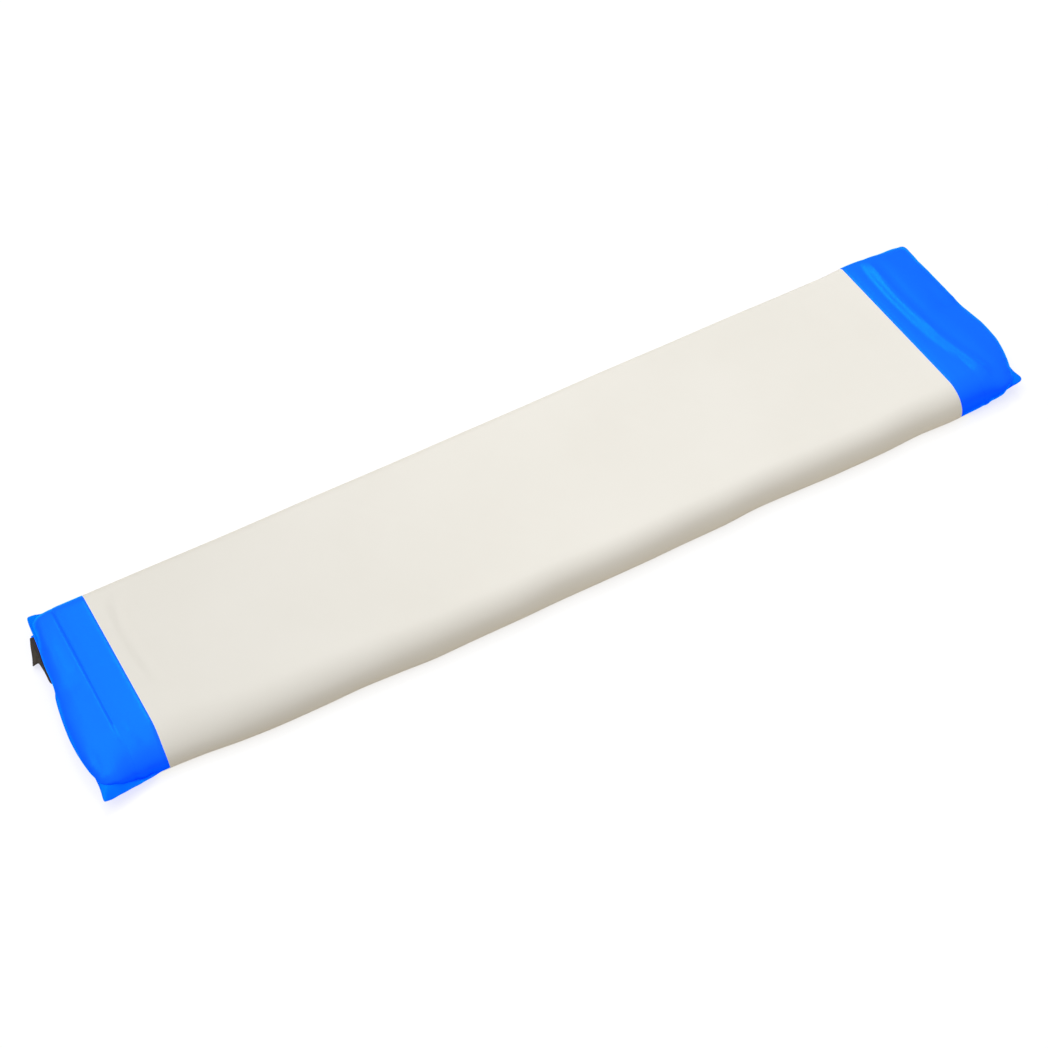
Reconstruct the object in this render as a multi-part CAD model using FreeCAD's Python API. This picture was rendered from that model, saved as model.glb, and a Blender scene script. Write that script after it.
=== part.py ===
import FreeCAD, Part
import os
import math

# Inflatable air track mat: a drop-stitch air chamber in a sewn and welded
# PVC-coated cover, with a pillow-shaped cap at each end, a webbing handle at
# each end and an inflation valve in the far side wall.
# Frame: +X along the mat, +Z up, -Y the near long side, origin on the floor
# plane under the middle of the mat. All sizes in millimetres.

Vector = FreeCAD.Vector
ORIGIN = Vector(0, 0, 0)
Y_AXIS = Vector(0, 1, 0)

# ---------------------------------------------------------------- main sizes
LEFT_TIP = 2308.0       # distance from the origin to the tip of each end fin
RIGHT_TIP = 2329.0
TOP_Z = 150.0           # top of the joint bands
BAND_T = 0.6            # joint band thickness
GLUE = 0.1              # gap kept between bonded sheets
WEAR_T = 1.2            # underside wear sheet thickness
SKIN = 1.0              # cover thickness
SLEEVE_HALF_W = 499.3
CORNER_R = 61.0         # radius of the four long edges

SLEEVE_BOTTOM = WEAR_T + GLUE
SLEEVE_TOP = TOP_Z - BAND_T - GLUE
MID_Z = 0.5 * (SLEEVE_BOTTOM + SLEEVE_TOP)
HALF_H = 0.5 * (SLEEVE_TOP - SLEEVE_BOTTOM)

# Joints between sleeve and caps
LEFT_BAND_X = -2034.0   # inner edge of each joint band
RIGHT_BAND_X = 1924.0
BAND_W = 134.0
BUTT_GAP = 1.0          # gap of the butt joint under each band
LEFT_BUTT_X = LEFT_BAND_X - 0.5 * BAND_W
RIGHT_BUTT_X = RIGHT_BAND_X + 0.5 * BAND_W
SLIT_W = 1.0            # lengthwise butt joint of the sleeve, underneath

# Reach of cutting and trimming solids past what they act on
OVERCUT = 1.0
MARGIN = 5.0
TRIM_Y = 600.0

os.makedirs("parts", exist_ok=True)


def save(name, shape):
    if not shape.isValid():
        raise RuntimeError(name + " is not valid")
    shape.exportStep("parts/" + name + ".step")


# --------------------------------------------------------------- shape tools
def rounded_section(x, half_w, z_low, z_high, radius):
    """Closed rounded rectangle in a plane of constant X: four lines, four arcs."""
    radius = min(radius, 0.46 * (z_high - z_low))
    inset = radius * (1.0 - math.sqrt(0.5))     # from corner to middle of its arc
    ends = [Vector(x, y, z) for y, z in (
        (-half_w + radius, z_low), (half_w - radius, z_low),
        (half_w, z_low + radius), (half_w, z_high - radius),
        (half_w - radius, z_high), (-half_w + radius, z_high),
        (-half_w, z_high - radius), (-half_w, z_low + radius))]
    middles = [Vector(x, y, z) for y, z in (
        (half_w - inset, z_low + inset), (half_w - inset, z_high - inset),
        (-half_w + inset, z_high - inset), (-half_w + inset, z_low + inset))]
    edges = []
    for i, middle in enumerate(middles):
        start, end, following = ends[2 * i], ends[2 * i + 1], ends[(2 * i + 2) % 8]
        edges.append(Part.makeLine(start, end))
        edges.append(Part.Arc(end, middle, following).toShape())
    return Part.Wire(edges)


def prism(x_min, x_max, offset):
    """Solid bar with the sleeve's section grown by offset."""
    section = rounded_section(x_min, SLEEVE_HALF_W + offset, SLEEVE_BOTTOM - offset,
                              SLEEVE_TOP + offset, CORNER_R + offset)
    return Part.Face(section).extrude(Vector(x_max - x_min, 0, 0))


def tube(x_min, x_max, outer_offset, inner_offset):
    hollow = prism(x_min - OVERCUT, x_max + OVERCUT, inner_offset)
    return prism(x_min, x_max, outer_offset).cut(hollow)


def box(x_min, x_max, y_min, y_max, z_min, z_max):
    return Part.makeBox(x_max - x_min, y_max - y_min, z_max - z_min,
                        Vector(x_min, y_min, z_min))


# --------------------------------------------------- valve axis and its hole
VALVE_X, VALVE_Z = 1650.0, 66.0         # the axis runs along +Y
BARREL_R = 19.0
BARREL_HOLE_R = BARREL_R + 0.2


def valve_disc(radius, y_min, y_max, x=VALVE_X, z=VALVE_Z):
    """Cylinder along +Y, on the valve axis unless placed elsewhere."""
    return Part.makeCylinder(radius, y_max - y_min, Vector(x, y_min, z), Y_AXIS)


def valve_ring(outer_r, inner_r, y_min, y_max):
    bore = valve_disc(inner_r, y_min - OVERCUT, y_max + OVERCUT)
    return valve_disc(outer_r, y_min, y_max).cut(bore)


VALVE_HOLE = valve_disc(BARREL_HOLE_R, 470.0, 520.0)


# -------------------------------------------------------------------- sleeve
def outer_sleeve():
    sleeve = tube(LEFT_BUTT_X + 0.5 * BUTT_GAP, RIGHT_BUTT_X - 0.5 * BUTT_GAP, 0.0, -SKIN)
    slit = box(-2300, 2300, -0.5 * SLIT_W, 0.5 * SLIT_W,
               -OVERCUT, SLEEVE_BOTTOM + SKIN + OVERCUT)
    return sleeve.cut(slit).cut(VALVE_HOLE)


save("outer_sleeve", outer_sleeve())

# ------------------------------------------------------------------ end caps
FIN_T = 2.0 * SKIN      # two plies welded together
FIN_LENGTH = 45.0       # along X, from where the two plies meet
FIN_HALF_W = 518.0      # with its two ears
FIN_EAR = 4.0           # how far each ear stands out past the pillow
FIN_CORNER_R = 9.0
CAVITY_END_GAP = 1.5    # from the end of the cavity to the fin
CAVITY_END_HALF_H = 0.3
STRAIGHT_PAST_BAND = 2.0

# Loft stations, as fractions of the way from the straight part to the fin
STATIONS = (0.0, 0.14, 0.28, 0.42, 0.55, 0.67, 0.77, 0.855, 0.92, 0.965, 0.99)


def end_cap(side, butt_x, straight_x, tip_x, power):
    """Cap from butt joint to fin; side is -1 for left, 1 for right.

    Distances are from the origin. A higher power gives a blunter pillow end.
    """
    def section(x, half_w, half_h, radius):
        return rounded_section(side * x, half_w, MID_Z - half_h, MID_Z + half_h, radius)

    root_x = tip_x - FIN_LENGTH
    cavity_x = root_x - CAVITY_END_GAP
    root_half_w = FIN_HALF_W - FIN_EAR
    outer, inner = [], []
    for s in STATIONS:
        half_h = HALF_H * (1.0 - s ** power) ** (1.0 / power)
        half_w = SLEEVE_HALF_W + (root_half_w - SLEEVE_HALF_W) * s ** 3
        outer.append(section(straight_x + (root_x - straight_x) * s, half_w, half_h, CORNER_R))
        inner_half_h = half_h - SKIN - 0.6 * s      # the wall thickens towards the fin
        if inner_half_h > 1.0:
            inner.append(section(straight_x + (cavity_x - straight_x) * s,
                                 half_w - SKIN, inner_half_h, CORNER_R - SKIN))
    outer.append(section(root_x, root_half_w, 0.5 * FIN_T, CORNER_R))
    inner.append(section(cavity_x, root_half_w - SKIN, CAVITY_END_HALF_H, CORNER_R))

    shell = Part.makeLoft(outer, True, True)
    cavity = Part.makeLoft(inner, True, True)
    shell = shell.fuse(prism(*sorted((side * butt_x, side * straight_x)), 0.0))
    cavity = cavity.fuse(prism(*sorted((side * (butt_x - OVERCUT), side * straight_x)), -SKIN))

    fin = box(*sorted((side * root_x, side * tip_x)), -FIN_HALF_W, FIN_HALF_W,
              MID_Z - 0.5 * FIN_T, MID_Z + 0.5 * FIN_T)
    tip_corners = [edge for edge in fin.Edges
                   if abs(edge.Vertexes[0].X - edge.Vertexes[-1].X) < 0.01
                   and abs(edge.Vertexes[0].Y - edge.Vertexes[-1].Y) < 0.01
                   and abs(edge.Vertexes[0].X - side * tip_x) < 0.01]
    fin = fin.makeFillet(FIN_CORNER_R, tip_corners)
    return shell.fuse(fin).cut(cavity).removeSplitter()


save("left_end_cap", end_cap(-1, -LEFT_BUTT_X + 0.5 * BUTT_GAP,
                             -LEFT_BAND_X + BAND_W + STRAIGHT_PAST_BAND, LEFT_TIP, 2.1))
save("right_end_cap", end_cap(1, RIGHT_BUTT_X + 0.5 * BUTT_GAP,
                              RIGHT_BAND_X + BAND_W + STRAIGHT_PAST_BAND, RIGHT_TIP, 2.9))


# --------------------------------------------------------------- joint bands
def joint_band(x_min):
    return tube(x_min, x_min + BAND_W, GLUE + BAND_T, GLUE)


save("left_joint_band", joint_band(LEFT_BAND_X - BAND_W))
save("right_joint_band", joint_band(RIGHT_BAND_X))

# ---------------------------------------------------------------- wear sheet
WEAR_TOP = 17.0         # how far up the corners the sheet wraps
WEAR_LAP = 62.0         # lap over each joint band
THIN_EXTRA = 0.3        # the thinning runs this far past each band


def underside_wear_sheet():
    """Wraps up both lower edges, and is thinned where it laps the bands."""
    x_min, x_max = LEFT_BAND_X - WEAR_LAP, RIGHT_BAND_X + WEAR_LAP
    over_band = GLUE + BAND_T + GLUE
    sheet = tube(x_min, x_max, GLUE + WEAR_T, GLUE)
    sheet = sheet.cut(prism(x_min - OVERCUT, LEFT_BAND_X + THIN_EXTRA, over_band))
    sheet = sheet.cut(prism(RIGHT_BAND_X - THIN_EXTRA, x_max + OVERCUT, over_band))
    return sheet.common(box(x_min - MARGIN, x_max + MARGIN, -TRIM_Y, TRIM_Y,
                            -MARGIN, WEAR_TOP))


save("underside_wear_sheet", underside_wear_sheet())

# ---------------------------------------------------------- drop-stitch core
CORE_INSET = 12.0       # from each butt joint
CORE_LEFT, CORE_RIGHT = LEFT_BUTT_X + CORE_INSET, RIGHT_BUTT_X - CORE_INSET
PLY_T = 0.9
PLY_HALF_W = 432.0
TOP_PLY_Z = SLEEVE_TOP - SKIN - GLUE            # upper face of the top ply
BOTTOM_PLY_Z = SLEEVE_BOTTOM + SKIN + GLUE      # lower face of the bottom ply
YARN_R = 1.0
YARN_COLUMNS, YARN_ROWS = 31, 8                 # along X, along Y
YARN_INSET_X, YARN_INSET_Y = 60.0, 45.0
YARN_END_GAP = 0.05


def core_ply(z_min):
    return box(CORE_LEFT, CORE_RIGHT, -PLY_HALF_W, PLY_HALF_W, z_min, z_min + PLY_T)


def drop_stitch_yarns():
    z_low = BOTTOM_PLY_Z + PLY_T + YARN_END_GAP
    z_high = TOP_PLY_Z - PLY_T - YARN_END_GAP
    pitch_x = (CORE_RIGHT - CORE_LEFT - 2 * YARN_INSET_X) / (YARN_COLUMNS - 1)
    pitch_y = 2 * (PLY_HALF_W - YARN_INSET_Y) / (YARN_ROWS - 1)
    return Part.makeCompound([
        Part.makeCylinder(YARN_R, z_high - z_low,
                          Vector(CORE_LEFT + YARN_INSET_X + pitch_x * i,
                                 -PLY_HALF_W + YARN_INSET_Y + pitch_y * j, z_low))
        for i in range(YARN_COLUMNS) for j in range(YARN_ROWS)])


save("drop_stitch_top_ply", core_ply(TOP_PLY_Z - PLY_T))
save("drop_stitch_bottom_ply", core_ply(BOTTOM_PLY_Z))
save("drop_stitch_yarns", drop_stitch_yarns())

# -------------------------------------------------------------- side linings
LINING_T = 0.9
LINING_BOTTOM, LINING_TOP = 12.0, 138.0
LINING_INNER_Y = 440.0


def side_lining(y_min, y_max):
    lining = tube(CORE_LEFT, CORE_RIGHT, -SKIN - GLUE, -SKIN - GLUE - LINING_T)
    return lining.common(box(CORE_LEFT - MARGIN, CORE_RIGHT + MARGIN, y_min, y_max,
                             LINING_BOTTOM, LINING_TOP))


save("side_lining_near", side_lining(-TRIM_Y, -LINING_INNER_Y))
save("side_lining_far", side_lining(LINING_INNER_Y, TRIM_Y).cut(VALVE_HOLE))

# ------------------------------------------------------------------- handles
WEB_T = 3.0             # webbing thickness
FOLD_OUT = 3.0          # fold line of the strap, just outside the fin
FOLD_Z = 71.4
ROLL_R = 1.8            # rolled and sewn root of the strap
LEFT_HANG = 60.0        # degrees each strap hangs below level
RIGHT_HANG = 85.0
ROOTS = ((352.0, 402.0), (132.0, 170.0))        # Y range of each root
TAIL_REACH = 38.0       # end of the sewn-down tail, from the fold line
TAIL_GAP = 0.15         # between roll and tail
PAD_T = 1.4
PAD_BORDER = 10.0       # pad past the tail in Y, each side
PAD_END = 4.0           # pad past the inner end of the tail
PAD_SETBACK = 2.0       # pad's outer edge, in from the fin tip
PAD_CORNER_R = 5.0

# Strap outline in its own plane: Y, distance out from the fold line.
# The middle is folded narrow for the grip.
STRAP_OUTLINE = [
    # outer edge
    (402, 1), (399, 4), (389, 12), (370, 28), (347, 46), (324, 60), (310, 67),
    (306, 68), (300, 67), (296, 61), (290, 47), (282, 30), (275, 24.5), (265, 20.5),
    (235, 17.5), (205, 17), (167, 17), (154, 14), (142, 8), (132, 1),
    # inner edge
    (170, 1), (175, 2), (186, 2.5), (272, 3), (296, 8), (322, 8), (342, 4), (352, 1),
]


# The handle pieces are all built for the left end; tip is the fin tip distance.
def handle_strap(tip, hang):
    points = [Vector(-out, y, -0.5 * WEB_T) for y, out in STRAP_OUTLINE]
    outline = Part.makePolygon(points + [points[0]])
    strap = Part.Face(outline).extrude(Vector(0, 0, WEB_T))
    for y_min, y_max in ROOTS:
        strap = strap.fuse(Part.makeCylinder(ROLL_R, y_max - y_min,
                                             Vector(0, y_min, 0), Y_AXIS))
    strap = strap.removeSplitter()
    strap.rotate(ORIGIN, Y_AXIS, -hang)
    strap.translate(Vector(-tip - FOLD_OUT, 0, FOLD_Z))
    return strap


def anchor_webbing(tip):
    """Flat webbing ends under the fin, one at each root of the strap."""
    fold_x = -tip - FOLD_OUT
    return Part.makeCompound([
        box(fold_x + ROLL_R + TAIL_GAP, fold_x + TAIL_REACH, y_min, y_max,
            FOLD_Z - 0.5 * WEB_T, FOLD_Z + 0.5 * WEB_T)
        for y_min, y_max in ROOTS])


def anchor_pads(tip):
    """Welded patches that cover the webbing ends from below."""
    pads = []
    z_top = FOLD_Z - 0.5 * WEB_T - GLUE
    for y_min, y_max in ROOTS:
        pad = box(-tip + PAD_SETBACK, -tip - FOLD_OUT + TAIL_REACH + PAD_END,
                  y_min - PAD_BORDER, y_max + PAD_BORDER, z_top - PAD_T, z_top)
        upright = [edge for edge in pad.Edges
                   if abs(edge.Vertexes[0].Z - edge.Vertexes[-1].Z) > 0.5]
        pads.append(pad.makeFillet(PAD_CORNER_R, upright))
    return Part.makeCompound(pads)


def mirrored(shape):
    return shape.mirror(ORIGIN, Vector(1, 0, 0))


save("left_handle_strap", handle_strap(LEFT_TIP, LEFT_HANG))
save("right_handle_strap", mirrored(handle_strap(RIGHT_TIP, RIGHT_HANG)))
save("left_handle_anchor_webbing", anchor_webbing(LEFT_TIP))
save("right_handle_anchor_webbing", mirrored(anchor_webbing(RIGHT_TIP)))
save("left_handle_anchor_pads", anchor_pads(LEFT_TIP))
save("right_handle_anchor_pads", mirrored(anchor_pads(RIGHT_TIP)))

# --------------------------------------------------------------------- valve
# Y0 is the end nearer the air chamber, Y1 the outer end.
FIT = 0.05              # radial clearance of close-fitting parts
PATCH_R = 34.0
PATCH_Y = 502.0         # flat land of the patch
PATCH_DEPTH = 14.0
PATCH_FLARE = 6.0       # growth of the patch radius over its depth
FLANGE_R = 28.0
FLANGE_Y0, FLANGE_Y1 = 503.2, 505.8
BOSS_R = 22.0
MOUTH_Y = 508.5         # outer end of the body
MOUTH_R = 16.5          # inflation port
MOUTH_DEPTH = 8.0
BARREL_BORE_R = 15.5
SEAT_Y0, SEAT_Y1 = 467.1, 470.0
SEAT_BORE_R = 11.0
HUB_R = 5.6
HUB_Y0, HUB_Y1 = 476.0, 484.0
SPOKE_HALF_T = 1.2
STEM_BORE_R = 3.0
STEM_R = STEM_BORE_R - FIT
STEM_Y0 = SEAT_Y0 - 5.4
CUP_R = 6.4
CUP_Y0, CUP_Y1 = 493.6, 495.6
HEAD_R = 7.6
HEAD_Y0, HEAD_Y1 = 495.7, 499.4
NUT_Y0, NUT_Y1 = 483.0, 490.0
SPRING_R, SPRING_WIRE_R = 4.3, 0.45
SPRING_TURNS = 3.5
SPRING_END_GAP = 0.1
CAP_R = 25.0
CAP_WALL = 2.2
CAP_RIM_Y0 = 506.5
CAP_PLATE_Y0 = 509.1
CAP_Y1 = 511.0
HINGE_X = VALVE_X + 30.5                # hinge axis, parallel to Z
HINGE_Y = 506.6
PIN_R = 1.0
KNUCKLE_R = 2.4
KNUCKLE_IN, KNUCKLE_OUT = 6.0, 10.0     # knuckle ends, from the valve axis in Z
CAP_LUG_R = 2.3
CAP_LUG_HALF = 5.8


def hinge_cylinder(radius, z_min, z_max):
    return Part.makeCylinder(radius, z_max - z_min, Vector(HINGE_X, HINGE_Y, z_min))


PIN_HOLE = hinge_cylinder(PIN_R + FIT, VALVE_Z - 15.0, VALVE_Z + 15.0)


def notched(shape, count, first_deg, centre_r, notch_r, y_min, y_max):
    """Cut evenly spaced grip notches around the valve axis."""
    for k in range(count):
        angle = math.radians(first_deg + 360.0 / count * k)
        shape = shape.cut(valve_disc(notch_r, y_min - OVERCUT, y_max + OVERCUT,
                                     VALVE_X + centre_r * math.cos(angle),
                                     VALVE_Z + centre_r * math.sin(angle)))
    return shape


def valve_patch():
    """Round land with a tapered rim, its back shaped to the side wall."""
    patch = Part.makeCone(PATCH_R + PATCH_FLARE, PATCH_R, PATCH_DEPTH,
                          Vector(VALVE_X, PATCH_Y - PATCH_DEPTH, VALVE_Z), Y_AXIS)
    return patch.cut(prism(VALVE_X - 100, VALVE_X + 100, GLUE)).cut(VALVE_HOLE)


def valve_body():
    body = valve_ring(BARREL_R, BARREL_BORE_R, SEAT_Y0, FLANGE_Y0 + 1)
    body = body.fuse(valve_ring(BARREL_R, SEAT_BORE_R, SEAT_Y0, SEAT_Y1))
    body = body.fuse(valve_ring(FLANGE_R, BARREL_BORE_R, FLANGE_Y0, FLANGE_Y1))
    body = body.fuse(valve_ring(BOSS_R, BARREL_BORE_R, FLANGE_Y0, MOUTH_Y))
    body = body.cut(valve_disc(MOUTH_R, MOUTH_Y - MOUTH_DEPTH, MOUTH_Y + OVERCUT))
    # Stem guide: a hub on three spokes
    body = body.fuse(valve_disc(HUB_R, HUB_Y0, HUB_Y1))
    for k in range(3):
        spoke = box(VALVE_X, VALVE_X + BARREL_BORE_R + 1.0, HUB_Y0 + 2, HUB_Y0 + 6,
                    VALVE_Z - SPOKE_HALF_T, VALVE_Z + SPOKE_HALF_T)
        spoke.rotate(Vector(VALVE_X, 0, VALVE_Z), Y_AXIS, 120.0 * k + 30.0)
        body = body.fuse(spoke)
    body = body.cut(valve_disc(STEM_BORE_R, HUB_Y0 - OVERCUT, HUB_Y1 + OVERCUT))
    # Hinge knuckles on tabs of the flange
    for z_min, z_max in ((VALVE_Z - KNUCKLE_OUT, VALVE_Z - KNUCKLE_IN),
                         (VALVE_Z + KNUCKLE_IN, VALVE_Z + KNUCKLE_OUT)):
        knuckle = hinge_cylinder(KNUCKLE_R, z_min, z_max)
        web = box(VALVE_X + 24.5, HINGE_X + KNUCKLE_R, FLANGE_Y0, FLANGE_Y0 + 2.2,
                  z_min, z_max)
        riser = box(HINGE_X - KNUCKLE_R, HINGE_X + KNUCKLE_R, FLANGE_Y0, HINGE_Y,
                    z_min, z_max)
        body = body.fuse(knuckle).fuse(web).fuse(riser)
    return body.cut(PIN_HOLE).removeSplitter()


def valve_spring():
    """Helix along +Y between the hub and the spring cup."""
    y_min = HUB_Y1 + SPRING_END_GAP + SPRING_WIRE_R
    length = CUP_Y0 - SPRING_END_GAP - SPRING_WIRE_R - y_min
    helix = Part.makeHelix(length / SPRING_TURNS, length, SPRING_R)
    wire_section = Part.Wire([Part.makeCircle(SPRING_WIRE_R, Vector(SPRING_R, 0, 0), Y_AXIS)])
    spring = Part.Wire(helix.Edges).makePipeShell([wire_section], True, True)
    spring.rotate(ORIGIN, Vector(1, 0, 0), -90.0)
    spring.translate(Vector(VALVE_X, y_min, VALVE_Z))
    return spring


def valve_spring_cup():
    cup = valve_ring(CUP_R, STEM_BORE_R, CUP_Y0, CUP_Y1)
    return cup.fuse(valve_ring(CUP_R, 5.3, CUP_Y0 - 2.2, CUP_Y0 + 0.1)).removeSplitter()


def valve_plunger():
    """Stem with a cross-ribbed head outside and a disc at the inner end."""
    plunger = valve_disc(STEM_R, STEM_Y0, HEAD_Y0 + 0.5)
    plunger = plunger.fuse(valve_disc(HEAD_R, HEAD_Y0, HEAD_Y0 + 1.4))
    rib_reach = HEAD_R - 0.2
    for angle in (45.0, 135.0):
        rib = box(VALVE_X - rib_reach, VALVE_X + rib_reach, HEAD_Y0 + 1.0, HEAD_Y1,
                  VALVE_Z - 1.3, VALVE_Z + 1.3)
        rib.rotate(Vector(VALVE_X, 0, VALVE_Z), Y_AXIS, angle)
        plunger = plunger.fuse(rib)
    return plunger.fuse(valve_disc(8.5, STEM_Y0 - 1.6, STEM_Y0)).removeSplitter()


def valve_cap():
    cap = valve_disc(CAP_R, CAP_PLATE_Y0, CAP_Y1)
    cap = cap.fuse(valve_ring(CAP_R, CAP_R - CAP_WALL, CAP_RIM_Y0, CAP_PLATE_Y0 + 0.1))
    cap = cap.makeFillet(0.9, [edge for edge in cap.Edges
                               if abs(edge.BoundBox.YMax - CAP_Y1) < 0.01
                               and abs(edge.BoundBox.YMin - CAP_Y1) < 0.01])
    cap = notched(cap, 12, 15.0, 25.9, 1.4, CAP_RIM_Y0, CAP_Y1)
    z_min, z_max = VALVE_Z - CAP_LUG_HALF, VALVE_Z + CAP_LUG_HALF
    lug = hinge_cylinder(CAP_LUG_R, z_min, z_max)
    arm = box(VALVE_X + 23.2, HINGE_X, HINGE_Y + 0.6, HINGE_Y + 2.3, z_min, z_max)
    # Tab opposite the hinge
    rim_x = VALVE_X - CAP_R
    tab_x = rim_x - 4.5
    tab = box(tab_x, rim_x + 1.5, CAP_Y1 - 2.6, CAP_Y1 - 0.6, VALVE_Z - 6.0, VALVE_Z + 6.0)
    tab = tab.makeFillet(2.5, [edge for edge in tab.Edges
                               if abs(edge.Vertexes[0].Y - edge.Vertexes[-1].Y) > 0.5
                               and abs(edge.Vertexes[0].X - tab_x) < 0.01])
    return cap.fuse(lug).fuse(arm).fuse(tab).cut(PIN_HOLE).removeSplitter()


save("valve_patch", valve_patch())
save("valve_body", valve_body())
save("valve_gasket",
     valve_ring(FLANGE_R - 1.0, BARREL_HOLE_R, PATCH_Y + GLUE, FLANGE_Y0 - GLUE))
save("valve_clamp_nut", notched(valve_ring(24.0, BARREL_R + FIT, NUT_Y0, NUT_Y1),
                                8, 0.0, 25.2, 2.6, NUT_Y0, NUT_Y1))
save("valve_spring", valve_spring())
save("valve_spring_cup", valve_spring_cup())
save("valve_plunger", valve_plunger())
save("valve_plunger_seal", valve_ring(13.5, STEM_BORE_R, STEM_Y0 + 0.1, SEAT_Y0 - 0.15))
save("valve_cap", valve_cap())
save("valve_cap_seal", valve_ring(21.6, 12.0, MOUTH_Y + 0.12, CAP_PLATE_Y0 - 0.08))
save("valve_cap_hinge_pin",
     hinge_cylinder(PIN_R, VALVE_Z - KNUCKLE_OUT, VALVE_Z + KNUCKLE_OUT))
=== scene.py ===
"""An inflatable drop-stitch mat: a cream body, a blue pillow at each end, two webbing handles
and an air valve.

Metres, +Z up, floor at z = 0. The mat's length runs along X, with the left end at -X and the
right end at +X. The near side faces -Y and the far side, which holds the valve, faces +Y.
"""

import math

import bmesh
import bpy
import numpy as np
from mathutils import Matrix, Vector


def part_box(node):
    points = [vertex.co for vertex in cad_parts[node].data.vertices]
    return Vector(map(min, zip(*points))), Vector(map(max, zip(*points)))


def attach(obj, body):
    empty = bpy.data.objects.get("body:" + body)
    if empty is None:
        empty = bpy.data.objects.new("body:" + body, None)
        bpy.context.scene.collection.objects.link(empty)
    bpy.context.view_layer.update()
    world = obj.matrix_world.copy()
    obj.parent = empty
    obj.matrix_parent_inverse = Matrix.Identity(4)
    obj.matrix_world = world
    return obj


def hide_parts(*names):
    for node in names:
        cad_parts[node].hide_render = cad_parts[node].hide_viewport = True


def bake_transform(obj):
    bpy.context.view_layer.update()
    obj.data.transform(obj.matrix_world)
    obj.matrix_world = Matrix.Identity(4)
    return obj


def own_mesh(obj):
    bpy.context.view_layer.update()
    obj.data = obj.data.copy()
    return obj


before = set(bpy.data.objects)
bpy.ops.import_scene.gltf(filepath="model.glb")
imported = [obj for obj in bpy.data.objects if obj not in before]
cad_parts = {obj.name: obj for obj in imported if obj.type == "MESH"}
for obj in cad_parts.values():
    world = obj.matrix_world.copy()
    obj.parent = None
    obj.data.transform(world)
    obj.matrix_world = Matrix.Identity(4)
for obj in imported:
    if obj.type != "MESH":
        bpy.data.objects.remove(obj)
SCENE = bpy.context.scene
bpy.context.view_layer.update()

# ------------------------------------------------------------------ curves and paths


def smooth_curve(stations, values):
    """A smooth function through a few control values, without overshoot."""
    xs, ys = np.asarray(stations, float), np.asarray(values, float)
    gap = np.diff(xs)
    rise = np.diff(ys) / np.diff(xs)
    slope = np.zeros(len(xs))
    for i in range(1, len(xs) - 1):
        if rise[i - 1] * rise[i] > 0:
            before, after = 2 * gap[i] + gap[i - 1], gap[i] + 2 * gap[i - 1]
            slope[i] = (before + after) / (before / rise[i - 1] + after / rise[i])
    slope[0], slope[-1] = rise[0], rise[-1]

    def curve(x):
        x = np.clip(np.asarray(x, float), xs[0], xs[-1])
        k = np.clip(np.searchsorted(xs, x, side="right") - 1, 0, len(xs) - 2)
        t = (x - xs[k]) / gap[k]
        return ((2 * t**3 - 3 * t**2 + 1) * ys[k] + (t**3 - 2 * t**2 + t) * gap[k] * slope[k]
                + (-2 * t**3 + 3 * t**2) * ys[k + 1] + (t**3 - t**2) * gap[k] * slope[k + 1])
    return curve


def ease(x, start, end):
    """Rises smoothly from 0 at start to 1 at end."""
    t = np.clip((np.asarray(x, float) - start) / (end - start), 0, 1)
    return t * t * (3 - 2 * t)


def bell(x, centre, width):
    return np.exp(-(((np.asarray(x, float) - centre) / width) ** 2))


def wave(turns):
    return np.sin(2 * np.pi * turns)


def path_lengths(points):
    """How far along its path each point lies."""
    steps = np.linalg.norm(np.diff(points, axis=0), axis=1)
    return np.concatenate([[0], np.cumsum(steps)])


def sample_rows(table, keys, wanted):
    """Every column of table, interpolated from keys to the wanted values."""
    return np.stack([np.interp(wanted, keys, column) for column in table.T], -1)


def relax(path, passes):
    """Eases the corners of a path in place and keeps its ends."""
    for _ in range(passes):
        path[1:-1] = 0.25 * path[:-2] + 0.5 * path[1:-1] + 0.25 * path[2:]


def resample(points, count, along=None):
    """Points on a smooth path, spaced evenly by its own length or by that of the path along."""
    points = np.asarray(points, float)
    lengths = path_lengths(points if along is None else np.asarray(along, float))
    wanted = np.linspace(0, lengths[-1], count)
    return np.stack([smooth_curve(lengths, column)(wanted) for column in points.T], 1)


# ------------------------------------------------------------------ form of the inflated body

SEAM_LEFT, SEAM_RIGHT = -2.034, 1.9265   # X where cream and blue meet, on the middle line
SKEW = 0.016                             # the seams sit about a degree off square
STRIP_WIDTH = 0.134                      # joint strip, along X
START_X = {-1: -2.168, 1: 2.060}         # where each pillow end starts to close, by side
WELD_Z = 0.072                           # height of the weld at the two ends
LIFT = 0.0013                            # the wear sheet holds the body this far off the floor
ROW_STEP = 0.0165                        # spacing of the rows along the sleeve
WEAR_CORNER_R = {"near": 0.045, "far": 0.050}   # width of the lower edges' rounding

# How the section varies along X: half widths to each side, height, and shoulder sizes
NEAR_Y = smooth_curve(
    [-2.20, -2.10, -2.03, -1.90, -1.73, -1.55, -1.37, -1.19, -1.00, -0.82, -0.62, -0.42, -0.22,
     0.00, 0.20, 0.40, 0.60, 0.82, 1.04, 1.25, 1.47, 1.70, 1.87, 1.95, 2.10],
    [0.452, 0.453, 0.455, 0.462, 0.479, 0.488, 0.4895, 0.487, 0.495, 0.504, 0.502, 0.502, 0.499,
     0.500, 0.5005, 0.497, 0.496, 0.485, 0.490, 0.496, 0.4965, 0.488, 0.494, 0.492, 0.488])
FAR_Y = smooth_curve(
    [-2.2, -1.6, -1.0, -0.3, 0.4, 1.1, 1.5, 1.8, 1.9, 2.0, 2.1],
    [0.484, 0.484, 0.488, 0.493, 0.4985, 0.4995, 0.4993, 0.5005, 0.508, 0.512, 0.508])
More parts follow.
